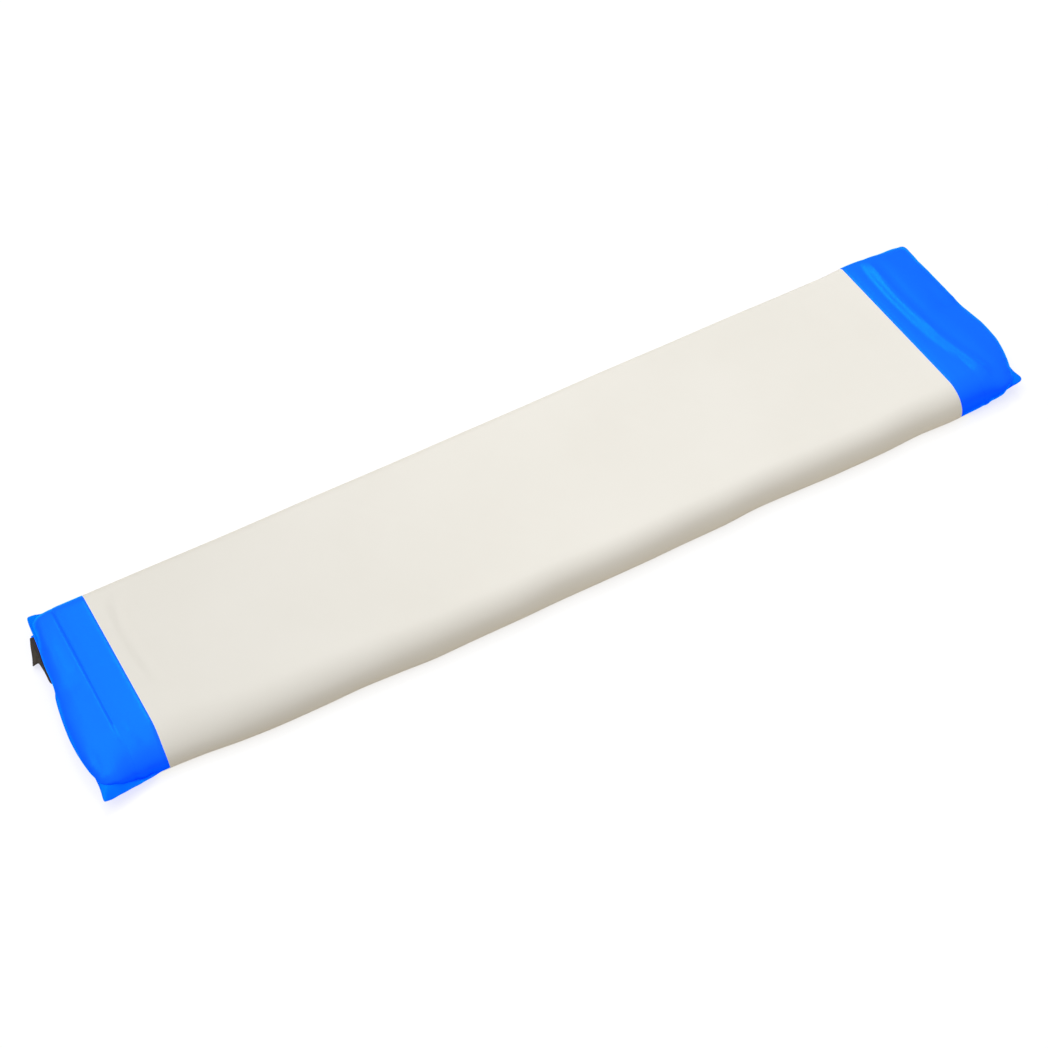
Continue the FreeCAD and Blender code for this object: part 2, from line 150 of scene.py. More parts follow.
TOP_Z = smooth_curve(
    [-2.2, -2.03, -1.6, -0.8, 0.0, 1.5, 2.05],
    [0.138, 0.141, 0.146, 0.149, 0.150, 0.150, 0.150])
NEAR_SHOULDER = smooth_curve(
    [-2.2, -2.0, -1.5, -0.6, 0.4, 1.4, 1.93, 2.1],
    [0.210, 0.198, 0.160, 0.126, 0.114, 0.114, 0.128, 0.142])
NEAR_EDGE_Z = smooth_curve([-2.2, -1.0, 0.5, 1.9, 2.1], [0.034, 0.034, 0.034, 0.036, 0.038])
FAR_EDGE_Z = 0.045
FAR_SHOULDER = smooth_curve(
    [-2.2, -2.0, -1.5, -0.8, 0.0, 0.8, 1.7, 1.95, 2.1],
    [0.060, 0.062, 0.068, 0.066, 0.060, 0.042, 0.030, 0.034, 0.040])

# X where each pillow end closes, by side, as a function of Y
END_X = {
    -1: smooth_curve(
        [-0.50, -0.396, -0.336, -0.241, -0.109, 0.00, 0.06, 0.11,
         0.138, 0.20, 0.26, 0.32, 0.379, 0.45, 0.50],
        [-2.306, -2.324, -2.340, -2.350, -2.347, -2.336, -2.325, -2.3095,
         -2.3065, -2.3045, -2.300, -2.294, -2.289, -2.286, -2.280]),
    1: smooth_curve(
        [-0.50, -0.45, -0.397, -0.34, -0.278, -0.19, -0.104, -0.01, 0.078, 0.15, 0.311, 0.45, 0.52],
        [2.262, 2.272, 2.287, 2.310, 2.331, 2.350, 2.353, 2.343, 2.331, 2.3275, 2.3275, 2.3275,
         2.324]),
}

# X of the long crest on the right pillow end, as a function of Y
CREST_X = smooth_curve(
    [-0.50, -0.41, -0.30, -0.19, -0.073, 0.06, 0.203, 0.351, 0.50],
    [2.128, 2.118, 2.101, 2.074, 2.052, 2.040, 2.033, 2.038, 2.046])

# How the sides draw in over a pillow end: (depth, w where it starts), near side then far side
DRAW_IN = {-1: ((0.045, 0.35), (0.034, 0.55)), 1: ((0.075, 0.45), (0.018, 0.80))}

# Segments of the upper curve, and of each rounded corner of the lower one
NEAR_ARC, TOP_FLAT, FAR_ARC, FAR_WALL = 22, 34, 12, 3
LOWER_ARC = 9
HALF = NEAR_ARC + TOP_FLAT + FAR_ARC + FAR_WALL


def draw_in(w, depth, start):
    """How far a side has drawn in at w, along a quarter ellipse."""
    return depth * (1 - math.sqrt(max(0.0, 1 - max(0.0, (w - start) / (1 - start)) ** 2)))


def quarter(segments):
    angle = np.linspace(0, math.pi / 2, segments + 1)
    return np.cos(angle), np.sin(angle)


def upper_curve(near, far, top, near_r, far_r, near_z, far_z):
    cos, sin = quarter(NEAR_ARC)
    shoulder = np.stack([-near + near_r - near_r * cos, near_z + (top - near_z) * sin], 1)
    y = np.linspace(-near + near_r, far - far_r, TOP_FLAT + 1)[1:]
    flat = np.stack([y, np.full(TOP_FLAT, top)], 1)
    cos, sin = (part[1:] for part in quarter(FAR_ARC))
    far_shoulder = np.stack([far - far_r + far_r * sin, top - far_r + far_r * cos], 1)
    z = np.linspace(top - far_r, min(far_z, top - far_r - 0.001), FAR_WALL + 1)[1:]
    wall = np.stack([np.full(FAR_WALL, far), z], 1)
    return np.concatenate([shoulder, flat, far_shoulder, wall])


def lower_curve(near, far, near_z, far_z):
    near_r, far_r = WEAR_CORNER_R["near"], WEAR_CORNER_R["far"]
    cos, sin = quarter(LOWER_ARC)
    near_corner = np.stack([-near + near_r - near_r * cos, near_z - near_z * sin], 1)
    flat_count = HALF - 2 * LOWER_ARC
    y = np.linspace(-near + near_r, far - far_r, flat_count + 1)[1:]
    flat = np.stack([y, np.zeros(flat_count)], 1)
    far_corner = np.stack([far - far_r + far_r * sin[1:], far_z - far_z * cos[1:]], 1)
    curve = np.concatenate([near_corner, flat, far_corner])
    curve[:, 1] = LIFT + curve[:, 1] * (1 - LIFT / near_z)
    return curve


def close_height(curve, w, side):
    """Brings the (y, z) points of a pillow end towards the weld's height as w nears 1."""
    y, z = curve[:, 0], curve[:, 1]
    # the nose is fuller where the handle is sewn under it
    full = ease(y, 0.04, 0.13) * (1 - 0.7 * ease(y, 0.30, 0.46))
    if side < 0:
        above = (1 - w ** (2.6 + 4.0 * full)) ** 0.5
    else:
        above = ((1 - (0.50 - 0.14 * full) * ease(w, 0.10, 1.0))
                 * (1 - w ** (6.0 + 5.0 * full)) ** 0.5)
    below = (1 - w**3.0) ** 0.5
    curve[:, 1] = np.where(z > WELD_Z, WELD_Z + (z - WELD_Z) * above,
                           WELD_Z + (z - WELD_Z) * below)


def section(x, w=0.0, side=0):
    """One closed section as (upper, lower), each HALF + 1 points of (y, z) from near to far.

    w runs from 0 to 1 over a pillow end. side is -1 at the left end, +1 at the right one and
    0 between them.
    """
    near, far, top = float(NEAR_Y(x)), float(FAR_Y(x)), float(TOP_Z(x))
    near_r, far_r = float(NEAR_SHOULDER(x)), float(FAR_SHOULDER(x))
    near_z, far_z = float(NEAR_EDGE_Z(x)), FAR_EDGE_Z
    if side:
        k = float(ease(w, 0.0, 0.75))
        near_z += (WELD_Z - near_z) * k
        far_z += (WELD_Z - far_z) * k
        if side < 0:
            near_r += 0.02 * k
            far_r += 0.012 * k
        else:
            far += 0.012 * float(ease(w, 0.30, 0.75))
            far_r += 0.006 * k
        near_draw, far_draw = DRAW_IN[side]
        near -= draw_in(w, *near_draw)
        far -= draw_in(w, *far_draw)
    upper = upper_curve(near, far, top, near_r, far_r, near_z, far_z)
    lower = lower_curve(near, far, near_z, far_z)
    lower[-1] = upper[-1]
    lower[0] = upper[0]
    if side:
        close_height(upper, w, side)
        close_height(lower, w, side)
        if w >= 1.0:                     # the two skins meet point for point along the weld
            lower = upper.copy()
    return upper, lower


# ------------------------------------------------------------------ unevenness of the cover
# Each term is a height or depth in metres times the bells, eases or waves that place it.


def sleeve_relief(x, y):
    """A valley and a ridge beside the left joint strip, and shallow dips on the sleeve."""
    across = ease(y, -0.30, 0.02) * (1 - ease(y, 0.30, 0.46))
    d = -0.0092 * bell(x + 0.02 * np.sin(9 * y), -1.930, 0.036) * across
    d += 0.0030 * bell(x, -1.985, 0.026) * across
    d -= 0.0034 * bell(x + 0.35 * y, -1.690, 0.055) * bell(y, 0.05, 0.20)
    d -= 0.0012 * bell(x, 1.86, 0.05) * (1 - ease(np.abs(y), 0.2, 0.42))
    return d


def left_relief(x, y):
    """A pressed line beside the joint strip, a softer fold and a dent near the near corner."""
    along_seam = x + SKEW * y
    d = (-0.0056 * bell(along_seam, -2.1745, 0.0060) * ease(y, -0.36, -0.22)
         * (1 - ease(y, 0.44, 0.485)))
    d += (0.0016 * bell(along_seam, -2.189, 0.010) * ease(y, -0.33, -0.15)
          * (1 - ease(y, 0.42, 0.48)))
    along_fold = x + 0.30 * (y + 0.30)
    d -= 0.0034 * bell(along_fold, -2.112, 0.0085) * bell(y, -0.31, 0.085)
    d += 0.0016 * bell(along_fold, -2.128, 0.009) * bell(y, -0.31, 0.095)
    d -= 0.0075 * bell(x, -2.300, 0.022) * bell(y, -0.335, 0.055)
    d += 0.0030 * bell(x, -2.262, 0.022) * ease(y, -0.30, 0.0) * (1 - ease(y, 0.25, 0.42))
    return d


def right_relief(x, y):
    """A crest that leaves the seam towards the near side, with a hollow on each side of it."""
    crest = CREST_X(y) + 0.006
    across = ease(y, -0.45, -0.33) * (1 - ease(y, 0.40, 0.50))
    d = 0.0085 * bell(x, crest + 0.004, 0.0245) * across
    d += 0.0026 * bell(x, crest + 0.006, 0.0060) * bell(y, -0.325, 0.075)
    d -= 0.0026 * bell(x, crest - 0.046, 0.019) * across
    d -= 0.0050 * bell(x, crest + 0.060, 0.032) * across
    d += 0.0016 * bell(x, 1.972, 0.008) * across
    d -= 0.0040 * bell(x, 2.235, 0.040) * bell(y, 0.12, 0.10)
    d += 0.0030 * bell(x, 2.215, 0.050) * bell(y, -0.16, 0.14)
    return d


def slow_relief(x, y):
    """Long waves over the whole top, and a slight crown across it."""
    d = 0.0012 * wave(x / 1.7 + 0.15) * np.cos(np.pi * y / 1.1)
    d += 0.0008 * wave(x / 0.73 + y / 0.9)
    d += 0.0015 * np.cos(np.clip(y / 0.42, -1, 1) * np.pi / 2)
    return d


def weld_puckers(x, y, z, side):
    """Height of the small puckers that run in from one end's weld and fade."""
    inset = np.abs(END_X[side](y) - x)
    mask = (side * x > 2.10) * np.exp(-inset / 0.030) * ease(inset, 0.0, 0.012)
    ripple = wave(y / 0.058 + 0.35 * np.sin(y * 9.0)) * 0.6 + wave(y / 0.034 + 0.2) * 0.4
    corner = 1.0 + 1.6 * bell(y, -0.38, 0.09) + 0.8 * bell(y, 0.44, 0.06)
    return 0.0013 * ripple * mask * corner * np.where(z > WELD_Z, 1.0, -0.6)


def relief(points):
    """The points of a section, moved by the soft unevenness of the stretched cover."""
    x, y, z = points.T
    out = points.copy()
    rise = sleeve_relief(x, y) + left_relief(x, y) + right_relief(x, y) + slow_relief(x, y)
    out[:, 2] += rise * ease(z, 0.085, 0.125)
    # above the sewn-in handle the left skin swells a little past the weld
    out[:, 0] -= (0.0125 * bell(z, 0.099, 0.021) * ease(-x, 2.27, 2.30)
                  * ease(y, 0.035, 0.12) * (1 - ease(y, 0.28, 0.42)))
    for side in (-1, 1):
        out[:, 2] += weld_puckers(x, y, z, side)
    # the near sides of the two pillow ends ripple low down
    mask = (np.abs(x) > 2.06) * ease(-y, 0.36, 0.44) * (z > 0.012) * (z < 0.105)
    out[:, 1] -= (mask * np.exp(-((z - 0.040) / 0.030) ** 2)
                  * (0.0022 * wave(x / 0.083 + 0.1) + 0.0013 * wave(x / 0.051 + 0.3)))
    # the near shoulder of the sleeve ripples gently
    mask = ease(-y, 0.30, 0.44) * ease(z, 0.02, 0.06) * (1 - ease(np.abs(x), 1.85, 2.03))
    out[:, 1] -= mask * (0.0016 * np.sin(2 * np.pi * x / 0.61 + 0.6)
                         + 0.0010 * np.sin(2 * np.pi * x / 0.37 + 2.1))
    return out


# ------------------------------------------------------------------ rows of the body


def ring(x_row, w, side):
    """A section as 2 HALF points in space: the upper curve near to far, then the lower back."""
    upper, lower = section(x_row, w, side)
    y, z = np.concatenate([upper, lower[-2:0:-1]]).T
    near_bend = 0.011 * ease(-y, 0.28, 0.46)         # the left seam bends near its near corner
    if side == 0:
        x = (x_row - SKEW * y * ease(abs(x_row), 0.6, 1.9)
             - near_bend * ease(-x_row, 1.75, 2.0))
    else:
        start = START_X[side] - SKEW * y - (near_bend if side < 0 else 0.0)
        x = start + (END_X[side](y) - start) * w
    return relief(np.stack([x, y, z], 1))


def cap_rows(side, count):
    """Rows (x, w, side) over a pillow end from its root, closer together at the nose."""
    steps = np.sin(np.linspace(0, math.pi / 2, count + 1))
    return [(START_X[side], float(w), side if w > 0 else 0) for w in steps]


def hull_rows():
    """All rows from the left nose to the right nose. Close ones mark the two seams."""
    x_left, x_right = START_X[-1], START_X[1]
    marks = [SEAM_LEFT, SEAM_LEFT - STRIP_WIDTH, SEAM_RIGHT, SEAM_RIGHT + STRIP_WIDTH]
    regular = [x for x in np.arange(x_left, x_right, ROW_STEP)[1:]
               if min(abs(x - mark) for mark in marks) > 0.006 and x < x_right - 0.008]
    seams = [seam + offset for seam in (SEAM_LEFT, SEAM_RIGHT) for offset in (-0.001, 0, 0.001)]
    sleeve_rows = [(float(x), 0.0, 0) for x in np.sort(regular + seams)]
    return cap_rows(-1, 34)[::-1] + sleeve_rows + cap_rows(1, 38)


# ------------------------------------------------------------------ mesh helpers


def shade(mesh, angle):
    """Smooth shading that keeps edges sharper than angle, in degrees."""
    mesh.polygons.foreach_set("use_smooth", [True] * len(mesh.polygons))
    mesh.set_sharp_from_angle(angle=math.radians(angle))


def mesh_object(name, verts, faces, uvs=None, angle=38.0, weld=0.0):
    """A mesh object at the origin, smooth shaded with its hard edges kept, normals outwards."""
    mesh = bpy.data.meshes.new(name)
    mesh.from_pydata([tuple(map(float, v)) for v in verts], [],
                     [tuple(int(i) for i in f) for f in faces])
    if uvs is not None:
        layer = mesh.uv_layers.new(name="UVMap")
        corners = np.zeros(len(mesh.loops), np.int32)
        mesh.loops.foreach_get("vertex_index", corners)
        layer.data.foreach_set("uv", np.asarray(uvs, np.float32)[corners].ravel())
    bm = bmesh.new()
    bm.from_mesh(mesh)
    if weld > 0:
        bmesh.ops.remove_doubles(bm, verts=bm.verts, dist=weld)
        bmesh.ops.dissolve_degenerate(bm, edges=bm.edges, dist=1e-6)
    loose = [v for v in bm.verts if not v.link_faces]
    bmesh.ops.delete(bm, geom=loose, context="VERTS")
    bmesh.ops.recalc_face_normals(bm, faces=bm.faces)
    bm.to_mesh(mesh)
    bm.free()
    shade(mesh, angle)
    made = bpy.data.objects.new(name, mesh)
    SCENE.collection.objects.link(made)
    return made


def grid_normals(grid, closed=True):
    """Normals of a grid of points, outward if its columns run round the body."""
    if closed:
        across = np.roll(grid, -1, 1) - np.roll(grid, 1, 1)
    else:
        across = np.gradient(grid, axis=1)
    normals = np.cross(across, np.gradient(grid, axis=0))
    normals = normals / np.maximum(np.linalg.norm(normals, axis=2, keepdims=True), 1e-12)
    if closed and ((grid - grid.mean(axis=1, keepdims=True)) * normals).sum() < 0:
        normals = -normals
    return normals


def grid_faces(rows, columns, offset=0, closed=True, flip=False):
    faces = []
    for i in range(rows - 1):
        for j in range(columns if closed else columns - 1):
            k = (j + 1) % columns
            here, above = offset + i * columns, offset + (i + 1) * columns
            quad = (here + j, here + k, above + k, above + j)
            faces.append(quad[::-1] if flip else quad)
    return faces


def skin(name, grid, normals, outward, inward, closed=True, uvs=None, angle=38.0, weld=0.0):
    """A sheet with two faces, the grid moved along its normals, joined round its edges."""
    rows, columns = grid.shape[:2]
    back = rows * columns
    verts = np.concatenate([(grid + normals * outward).reshape(-1, 3),
                            (grid + normals * inward).reshape(-1, 3)])
    faces = (grid_faces(rows, columns, 0, closed)
             + grid_faces(rows, columns, back, closed, flip=True))
    last = (rows - 1) * columns
    for j in range(columns if closed else columns - 1):
        k = (j + 1) % columns
        faces.append((back + j, back + k, k, j))
        faces.append((last + j, last + k, back + last + k, back + last + j))
    if not closed:
        for i in range(rows - 1):
            a, b = i * columns, (i + 1) * columns
            faces.append((a, b, back + b, back + a))
            a, b = a + columns - 1, b + columns - 1
            faces.append((back + a, back + b, b, a))
    if uvs is not None:
        uvs = np.concatenate([uvs.reshape(-1, 2)] * 2)
    return mesh_object(name, verts, faces, uvs, angle, weld)


def dress(made, material, slot, *replaced):
    """Gives a piece of the mat its material, attaches it to the mat and hides the CAD nodes it
    stands in for. slot is not used.
    """
    made.data.materials.clear()
    made.data.materials.append(material)
    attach(made, "mat")
    if replaced:
        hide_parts(*replaced)


# ------------------------------------------------------------------ shader helpers

BLACK, WHITE = (0, 0, 0), (1, 1, 1)
MIX_FACTOR, MIX_A, MIX_B, MIX_RESULT = 0, 6, 7, 2    # colour sockets of the Mix node


def feed(tree, target, inputs):
    """Fills a node's inputs, each from a plain value or from another node's output."""
    for key, value in inputs.items():
        if isinstance(value, bpy.types.NodeSocket):
            tree.links.new(value, target.inputs[key])
        else:
            target.inputs[key].default_value = value


def add_node(tree, kind, inputs={}, **settings):
    made = tree.nodes.new("ShaderNode" + kind)
    for key, value in settings.items():
        setattr(made, key, value)
    feed(tree, made, inputs)
    return made


def principled(name, base, roughness, metallic=0.0):
    material = bpy.data.materials.new(name)
    material.use_nodes = True
    tree = material.node_tree
    shader = tree.nodes["Principled BSDF"]
    feed(tree, shader, {"Base Color": (*base, 1), "Roughness": roughness, "IOR": 1.5,
                        "Metallic": metallic})
    return material, tree, shader


def object_place(tree):
    return add_node(tree, "TexCoord").outputs["Object"]


def noise(tree, place, **inputs):
    return add_node(tree, "TexNoise", {"Vector": place, **inputs}).outputs["Fac"]


def ribs(tree, place, direction, scale, distortion):
    inputs = {"Vector": place, "Scale": scale, "Distortion": distortion}
    made = add_node(tree, "TexWave", inputs, wave_type="BANDS", bands_direction=direction)
    return made.outputs["Fac"]


def combine(tree, operation, first, second):
    return add_node(tree, "Math", {0: first, 1: second}, operation=operation).outputs[0]


def combine_vectors(tree, operation, inputs):
    return add_node(tree, "VectorMath", inputs, operation=operation).outputs[0]


def mix(tree, factor, first, second):
    inputs = {MIX_FACTOR: factor, MIX_A: first, MIX_B: second}
    return add_node(tree, "Mix", inputs, data_type="RGBA").outputs[MIX_RESULT]


def ramp(tree, factor, first, *rest):
    """A colour ramp through two or more (position, colour) stops."""
    made = add_node(tree, "ValToRGB", {"Fac": factor})
    elements = made.color_ramp.elements
    for element, (position, color) in zip(elements, (first, rest[-1])):
        element.position = position
        element.color = (*color, 1)
    for position, color in rest[:-1]:
        elements.new(position).color = (*color, 1)
    return made.outputs["Color"]


def map_range(tree, value, low, high, inputs={}, **settings):
    inputs = {**inputs, "To Min": low, "To Max": high, "Value": value}
    return add_node(tree, "MapRange", inputs, **settings).outputs["Result"]


def bump(tree, height, strength, distance, inputs={}):
    inputs = {**inputs, "Height": height, "Strength": strength, "Distance": distance}
    return add_node(tree, "Bump", inputs).outputs["Normal"]


# ------------------------------------------------------------------ materials


def add_painted_glow(tree, shader, normal, painted_glow, specular):
    """Painted glow: an emitted blue keeps the fabric bright in shade, with a blue-green gloss sheen
    from the lamps.
    """
    facing = add_node(tree, "LayerWeight", {"Blend": 0.30}).outputs["Facing"]
    sheen = ramp(tree, facing, (0.30, (0.0, specular * 0.050, specular * 0.070)),
                 (1.0, (0.0, specular * 1.2, specular * 1.5)))
    gloss = add_node(tree, "BsdfAnisotropic",
                     {"Roughness": 0.27, "Color": sheen, "Normal": normal})
    both = add_node(tree, "AddShader", {0: shader.outputs["BSDF"], 1: gloss.outputs["BSDF"]})
    feed(tree, tree.nodes["Material Output"], {"Surface": both.outputs[0]})
    # painted glow: the fabric emits a blue of its own, though it is no lamp
    feed(tree, shader, {"Emission Color": (*painted_glow, 1), "Emission Strength": 1.0})


def coated_fabric(name, base, dark, light, roughness, grain, rib=0.0012, specular=0.25,
                  dust=None, painted_glow=None, fade=None):
    """PVC-coated fabric: slow colour drift, fine cloth grain, scuffs that change the gloss.

    grain is the strength of the cloth's relief and rib sets its spacing. dust is a colour in
    patches.
    glow is an emitted colour, a painted glow, and it also brings painted shade on the faces that do
    not look up. fade (start x, end x, brightness at the start) is painted shade that darkens the
    colour towards start x.
    """
    material, tree, shader = principled(name, base, roughness)
    place = object_place(tree)
    broad = noise(tree, place, Scale=1.7, Detail=3.0, Roughness=0.5)
    scuffs = noise(tree, place, Scale=14.0, Detail=5.0, Roughness=0.55)
    drift = ramp(tree, broad, (0.30, dark), (0.72, light))
    color = mix(tree, 0.5, (*base, 1), drift)
    if dust is not None:
        patches = ramp(tree, scuffs, (0.56, BLACK), (0.80, WHITE))
        color = mix(tree, combine(tree, "MULTIPLY", patches, 0.35), color, (*dust, 1))
    # painted shade: the colour darkens smoothly from end x towards start x
    if fade is not None:
        start, end, painted_shade_level = fade
        x = add_node(tree, "SeparateXYZ", {0: place}).outputs["X"]
        level = map_range(tree, x, painted_shade_level, 1.0, {"From Min": start, "From Max": end},
                          interpolation_type="SMOOTHSTEP")
        color = combine_vectors(tree, "SCALE", {0: color, "Scale": level})
    if painted_glow is not None:                 # painted shade: faces that do not look up are darkened to a deeper, purer blue
        facing = add_node(tree, "NewGeometry").outputs["Normal"]
        up = add_node(tree, "SeparateXYZ", {0: facing}).outputs["Z"]
        painted_side_shade = ramp(tree, up, (0.15, (0.10, 0.66, 0.97)), (0.93, WHITE))
        color = combine_vectors(tree, "MULTIPLY", {0: color, 1: painted_side_shade})

    # cloth grain under the coat: two crossed ribs and a fine noise, then the broader scuffs
    crossed = [ribs(tree, place, direction, scale=1.0 / rib / 6.2832, distortion=0.4)
               for direction in "XY"]
    cloth = combine(tree, "ADD", *crossed)
    cloth = combine(tree, "ADD", cloth, noise(tree, place, Scale=420.0, Detail=2.0))
    normal = bump(tree, cloth, strength=grain, distance=0.00012)
    normal = bump(tree, scuffs, strength=0.25, distance=0.0012, inputs={"Normal": normal})
    feed(tree, shader, {
        "Base Color": color,
        "Normal": normal,
        "Roughness": map_range(tree, scuffs, roughness - 0.05, roughness + 0.10),
        "Specular IOR Level": specular if painted_glow is None else 0.0,
        "Coat Roughness": 0.22,
    })
    if painted_glow is not None:
        add_painted_glow(tree, shader, normal, painted_glow, specular)
    return material


def plain(name, base, roughness, scale, relief_strength=0.15, metallic=0.0):
    """Moulded or metal parts: slight colour and gloss change, fine surface texture."""
    spread = 0.15
    material, tree, shader = principled(name, base, roughness, metallic)
    place = object_place(tree)
    blotches = noise(tree, place, Scale=scale, Detail=6.0)
    texture = noise(tree, place, Scale=scale * 22, Detail=2.0)
    dark = tuple(c * (1 - spread) for c in base)
    light = tuple(min(1, c * (1 + spread)) for c in base)
    feed(tree, shader, {
        "Base Color": ramp(tree, blotches, (0.3, dark), (0.7, light)),
        "Normal": bump(tree, texture, strength=relief_strength, distance=0.0003),
        "Roughness": map_range(tree, blotches, max(0.05, roughness - 0.08),
                               min(1, roughness + 0.10)),
    })
    return material


def webbing(name, base, light):
    """Woven tape: ribs along and picks across, from the piece's own UV, which runs in metres."""
    pitch = 0.0022
    material, tree, shader = principled(name, base, roughness=0.82)
    tape = add_node(tree, "UVMap").outputs["UV"]
    along = ribs(tree, tape, "X", scale=1.0 / pitch / 3.1416 / 2, distortion=0.6)
    across = ribs(tree, tape, "Y", scale=1.0 / pitch / 3.1416 / 1.6, distortion=0.4)
    weave = combine(tree, "MULTIPLY", along, across)
    fuzz = noise(tree, object_place(tree), Scale=900.0, Detail=3.0)
    weave = combine(tree, "ADD", weave, fuzz)
    feed(tree, shader, {
        "Base Color": ramp(tree, weave, (0.35, base), (1.35, light)),
        "Normal": bump(tree, weave, strength=0.8, distance=0.0005),
        "Specular IOR Level": 0.2,
        "Sheen Weight": 0.06,
        "Sheen Roughness": 0.5,
    })
    return material


# the cream carries painted shade that darkens it towards the left end
CREAM = coated_fabric(
    "cream_pvc_coated", base=(0.815, 0.79, 0.725), dark=(0.79, 0.765, 0.70),
    light=(0.835, 0.812, 0.755), roughness=0.44, grain=0.25, fade=(-2.05, 0.2, 0.915))
# the two blue fabrics get a painted glow (emitted blue) and painted shade on the faces that do not
# look up
BLUE = coated_fabric(
    "blue_pvc_coated", base=(0.0085, 0.142, 0.95), dark=(0.0075, 0.130, 0.93),
    light=(0.0095, 0.158, 0.97), roughness=0.33, grain=0.22, painted_glow=(0.0, 0.006, 0.50),
    specular=0.55)
BLUE_FIN = coated_fabric(
    "blue_pvc_fin", base=(0.002, 0.142, 0.95), dark=(0.0015, 0.130, 0.93),
    light=(0.003, 0.158, 0.97), roughness=0.33, grain=0.22, painted_glow=(0.0, 0.010, 0.50),
    specular=0.55)
WEAR = coated_fabric(
    "wear_pvc_rubbed", base=(0.88, 0.855, 0.80), dark=(0.84, 0.81, 0.75),
    light=(0.90, 0.88, 0.83), roughness=0.62, grain=0.5, rib=0.002, dust=(0.33, 0.30, 0.26))
LINING = coated_fabric(
    "lining_pvc_plain", base=(0.60, 0.585, 0.54), dark=(0.56, 0.54, 0.50),
    light=(0.64, 0.62, 0.58), roughness=0.6, grain=0.4)
CLOTH = coated_fabric(
    "drop_stitch_cloth", base=(0.66, 0.645, 0.60), dark=(0.60, 0.585, 0.54),
    light=(0.70, 0.685, 0.64), roughness=0.8, grain=0.6, rib=0.0016)
PATCH = coated_fabric(
    "valve_patch_pvc_plain", base=(0.62, 0.59, 0.52), dark=(0.59, 0.56, 0.49),
    light=(0.65, 0.62, 0.55), roughness=0.45, grain=0.3)
WEB = webbing("black_webbing_woven", base=(0.016, 0.012, 0.009), light=(0.060, 0.047, 0.037))
THREAD = plain("bonded_thread", base=(0.045, 0.04, 0.036), roughness=0.7, scale=300)
PLASTIC_BLACK = plain("moulded_plastic_black", base=(0.035, 0.035, 0.038), roughness=0.42,
                      scale=80, relief_strength=0.12)
PLASTIC_GREY = plain("moulded_plastic_grey", base=(0.10, 0.10, 0.105), roughness=0.45,
                     scale=80, relief_strength=0.12)
RUBBER = plain("seal_rubber_soft", base=(0.05, 0.05, 0.05), roughness=0.7,
               scale=90, relief_strength=0.2)
STEEL = plain("spring_steel_drawn", base=(0.50, 0.50, 0.51), roughness=0.32,
              scale=200, metallic=1.0)
YARN = plain("polyester_yarn", base=(0.62, 0.61, 0.57), roughness=0.8, scale=120)

# ------------------------------------------------------------------ the inflated body

ROWS = hull_rows()
ROW_X, _, ROW_SIDE = np.array(ROWS).T
HULL = np.stack([ring(*row) for row in ROWS])        # rows x points x 3, left nose to right
HULL_NORMALS = grid_normals(HULL)
ROW_COUNT, RING_POINTS = HULL.shape[:2]


def near_row(x):
    """The sleeve row closest to x. The pillow ends' own rows are ruled out."""
    return int(np.argmin(np.abs(ROW_X - x) + (ROW_SIDE != 0) * 9))


def hull_part(first_x, last_x):
    """Points and normals of the rows from first_x to last_x."""
    part = slice(near_row(first_x), near_row(last_x) + 1)
    return HULL[part], HULL_NORMALS[part]


# Coated cloth over a pillow end under air pressure
INFLATE_FRAMES = 16
INFLATE_LIMIT = 0.0016                   # tallest wrinkle that is kept
INFLATE_SETTINGS = {
    "quality": 7, "mass": 0.03, "air_damping": 1.0,
    "tension_stiffness": 25.0, "compression_stiffness": 25.0, "shear_stiffness": 8.0,
    "bending_stiffness": 0.08,
    "tension_damping": 10.0, "compression_damping": 10.0, "shear_damping": 10.0,
    "vertex_group_mass": "held",
    "use_pressure": True, "uniform_pressure_force": 8.0,
    "shrink_min": -0.012,                # the cloth is a little longer than its weld
}


def smooth_grid(grid, passes):
    """Blurs a grid round its rings and, except in its end rows, from row to row."""
    for _ in range(passes):
        grid = 0.25 * np.roll(grid, 1, 1) + 0.5 * grid + 0.25 * np.roll(grid, -1, 1)
        blurred = grid.copy()
        blurred[1:-1] = 0.25 * grid[:-2] + 0.5 * grid[1:-1] + 0.25 * grid[2:]
        grid = blurred
    return grid


def simulate_cloth(grid, held):
    """How far a cloth in the shape of the grid moves under pressure, point by point."""
    rows, columns = grid.shape[:2]
    mesh = bpy.data.meshes.new("inflate_cloth")
    mesh.from_pydata([tuple(map(float, v)) for v in grid.reshape(-1, 3)], [],
                     grid_faces(rows, columns, flip=True))
    cloth = bpy.data.objects.new("inflate_cloth", mesh)
    SCENE.collection.objects.link(cloth)
    cloth.vertex_groups.new(name="held").add(held, 1.0, "REPLACE")
    modifier = cloth.modifiers.new("cloth", "CLOTH")
    for key, value in INFLATE_SETTINGS.items():
        setattr(modifier.settings, key, value)
    modifier.settings.effector_weights.gravity = 0.0
    modifier.collision_settings.use_collision = False
    modifier.point_cache.frame_start = 1
    modifier.point_cache.frame_end = INFLATE_FRAMES
    for number in range(1, INFLATE_FRAMES + 1):
        SCENE.frame_set(number)
    posed = cloth.evaluated_get(bpy.context.evaluated_depsgraph_get())
    places = np.zeros(len(posed.data.vertices) * 3)
    posed.data.vertices.foreach_get("co", places)
    bpy.data.objects.remove(cloth)
    SCENE.frame_set(1)
    return places.reshape(rows, columns, 3) - grid


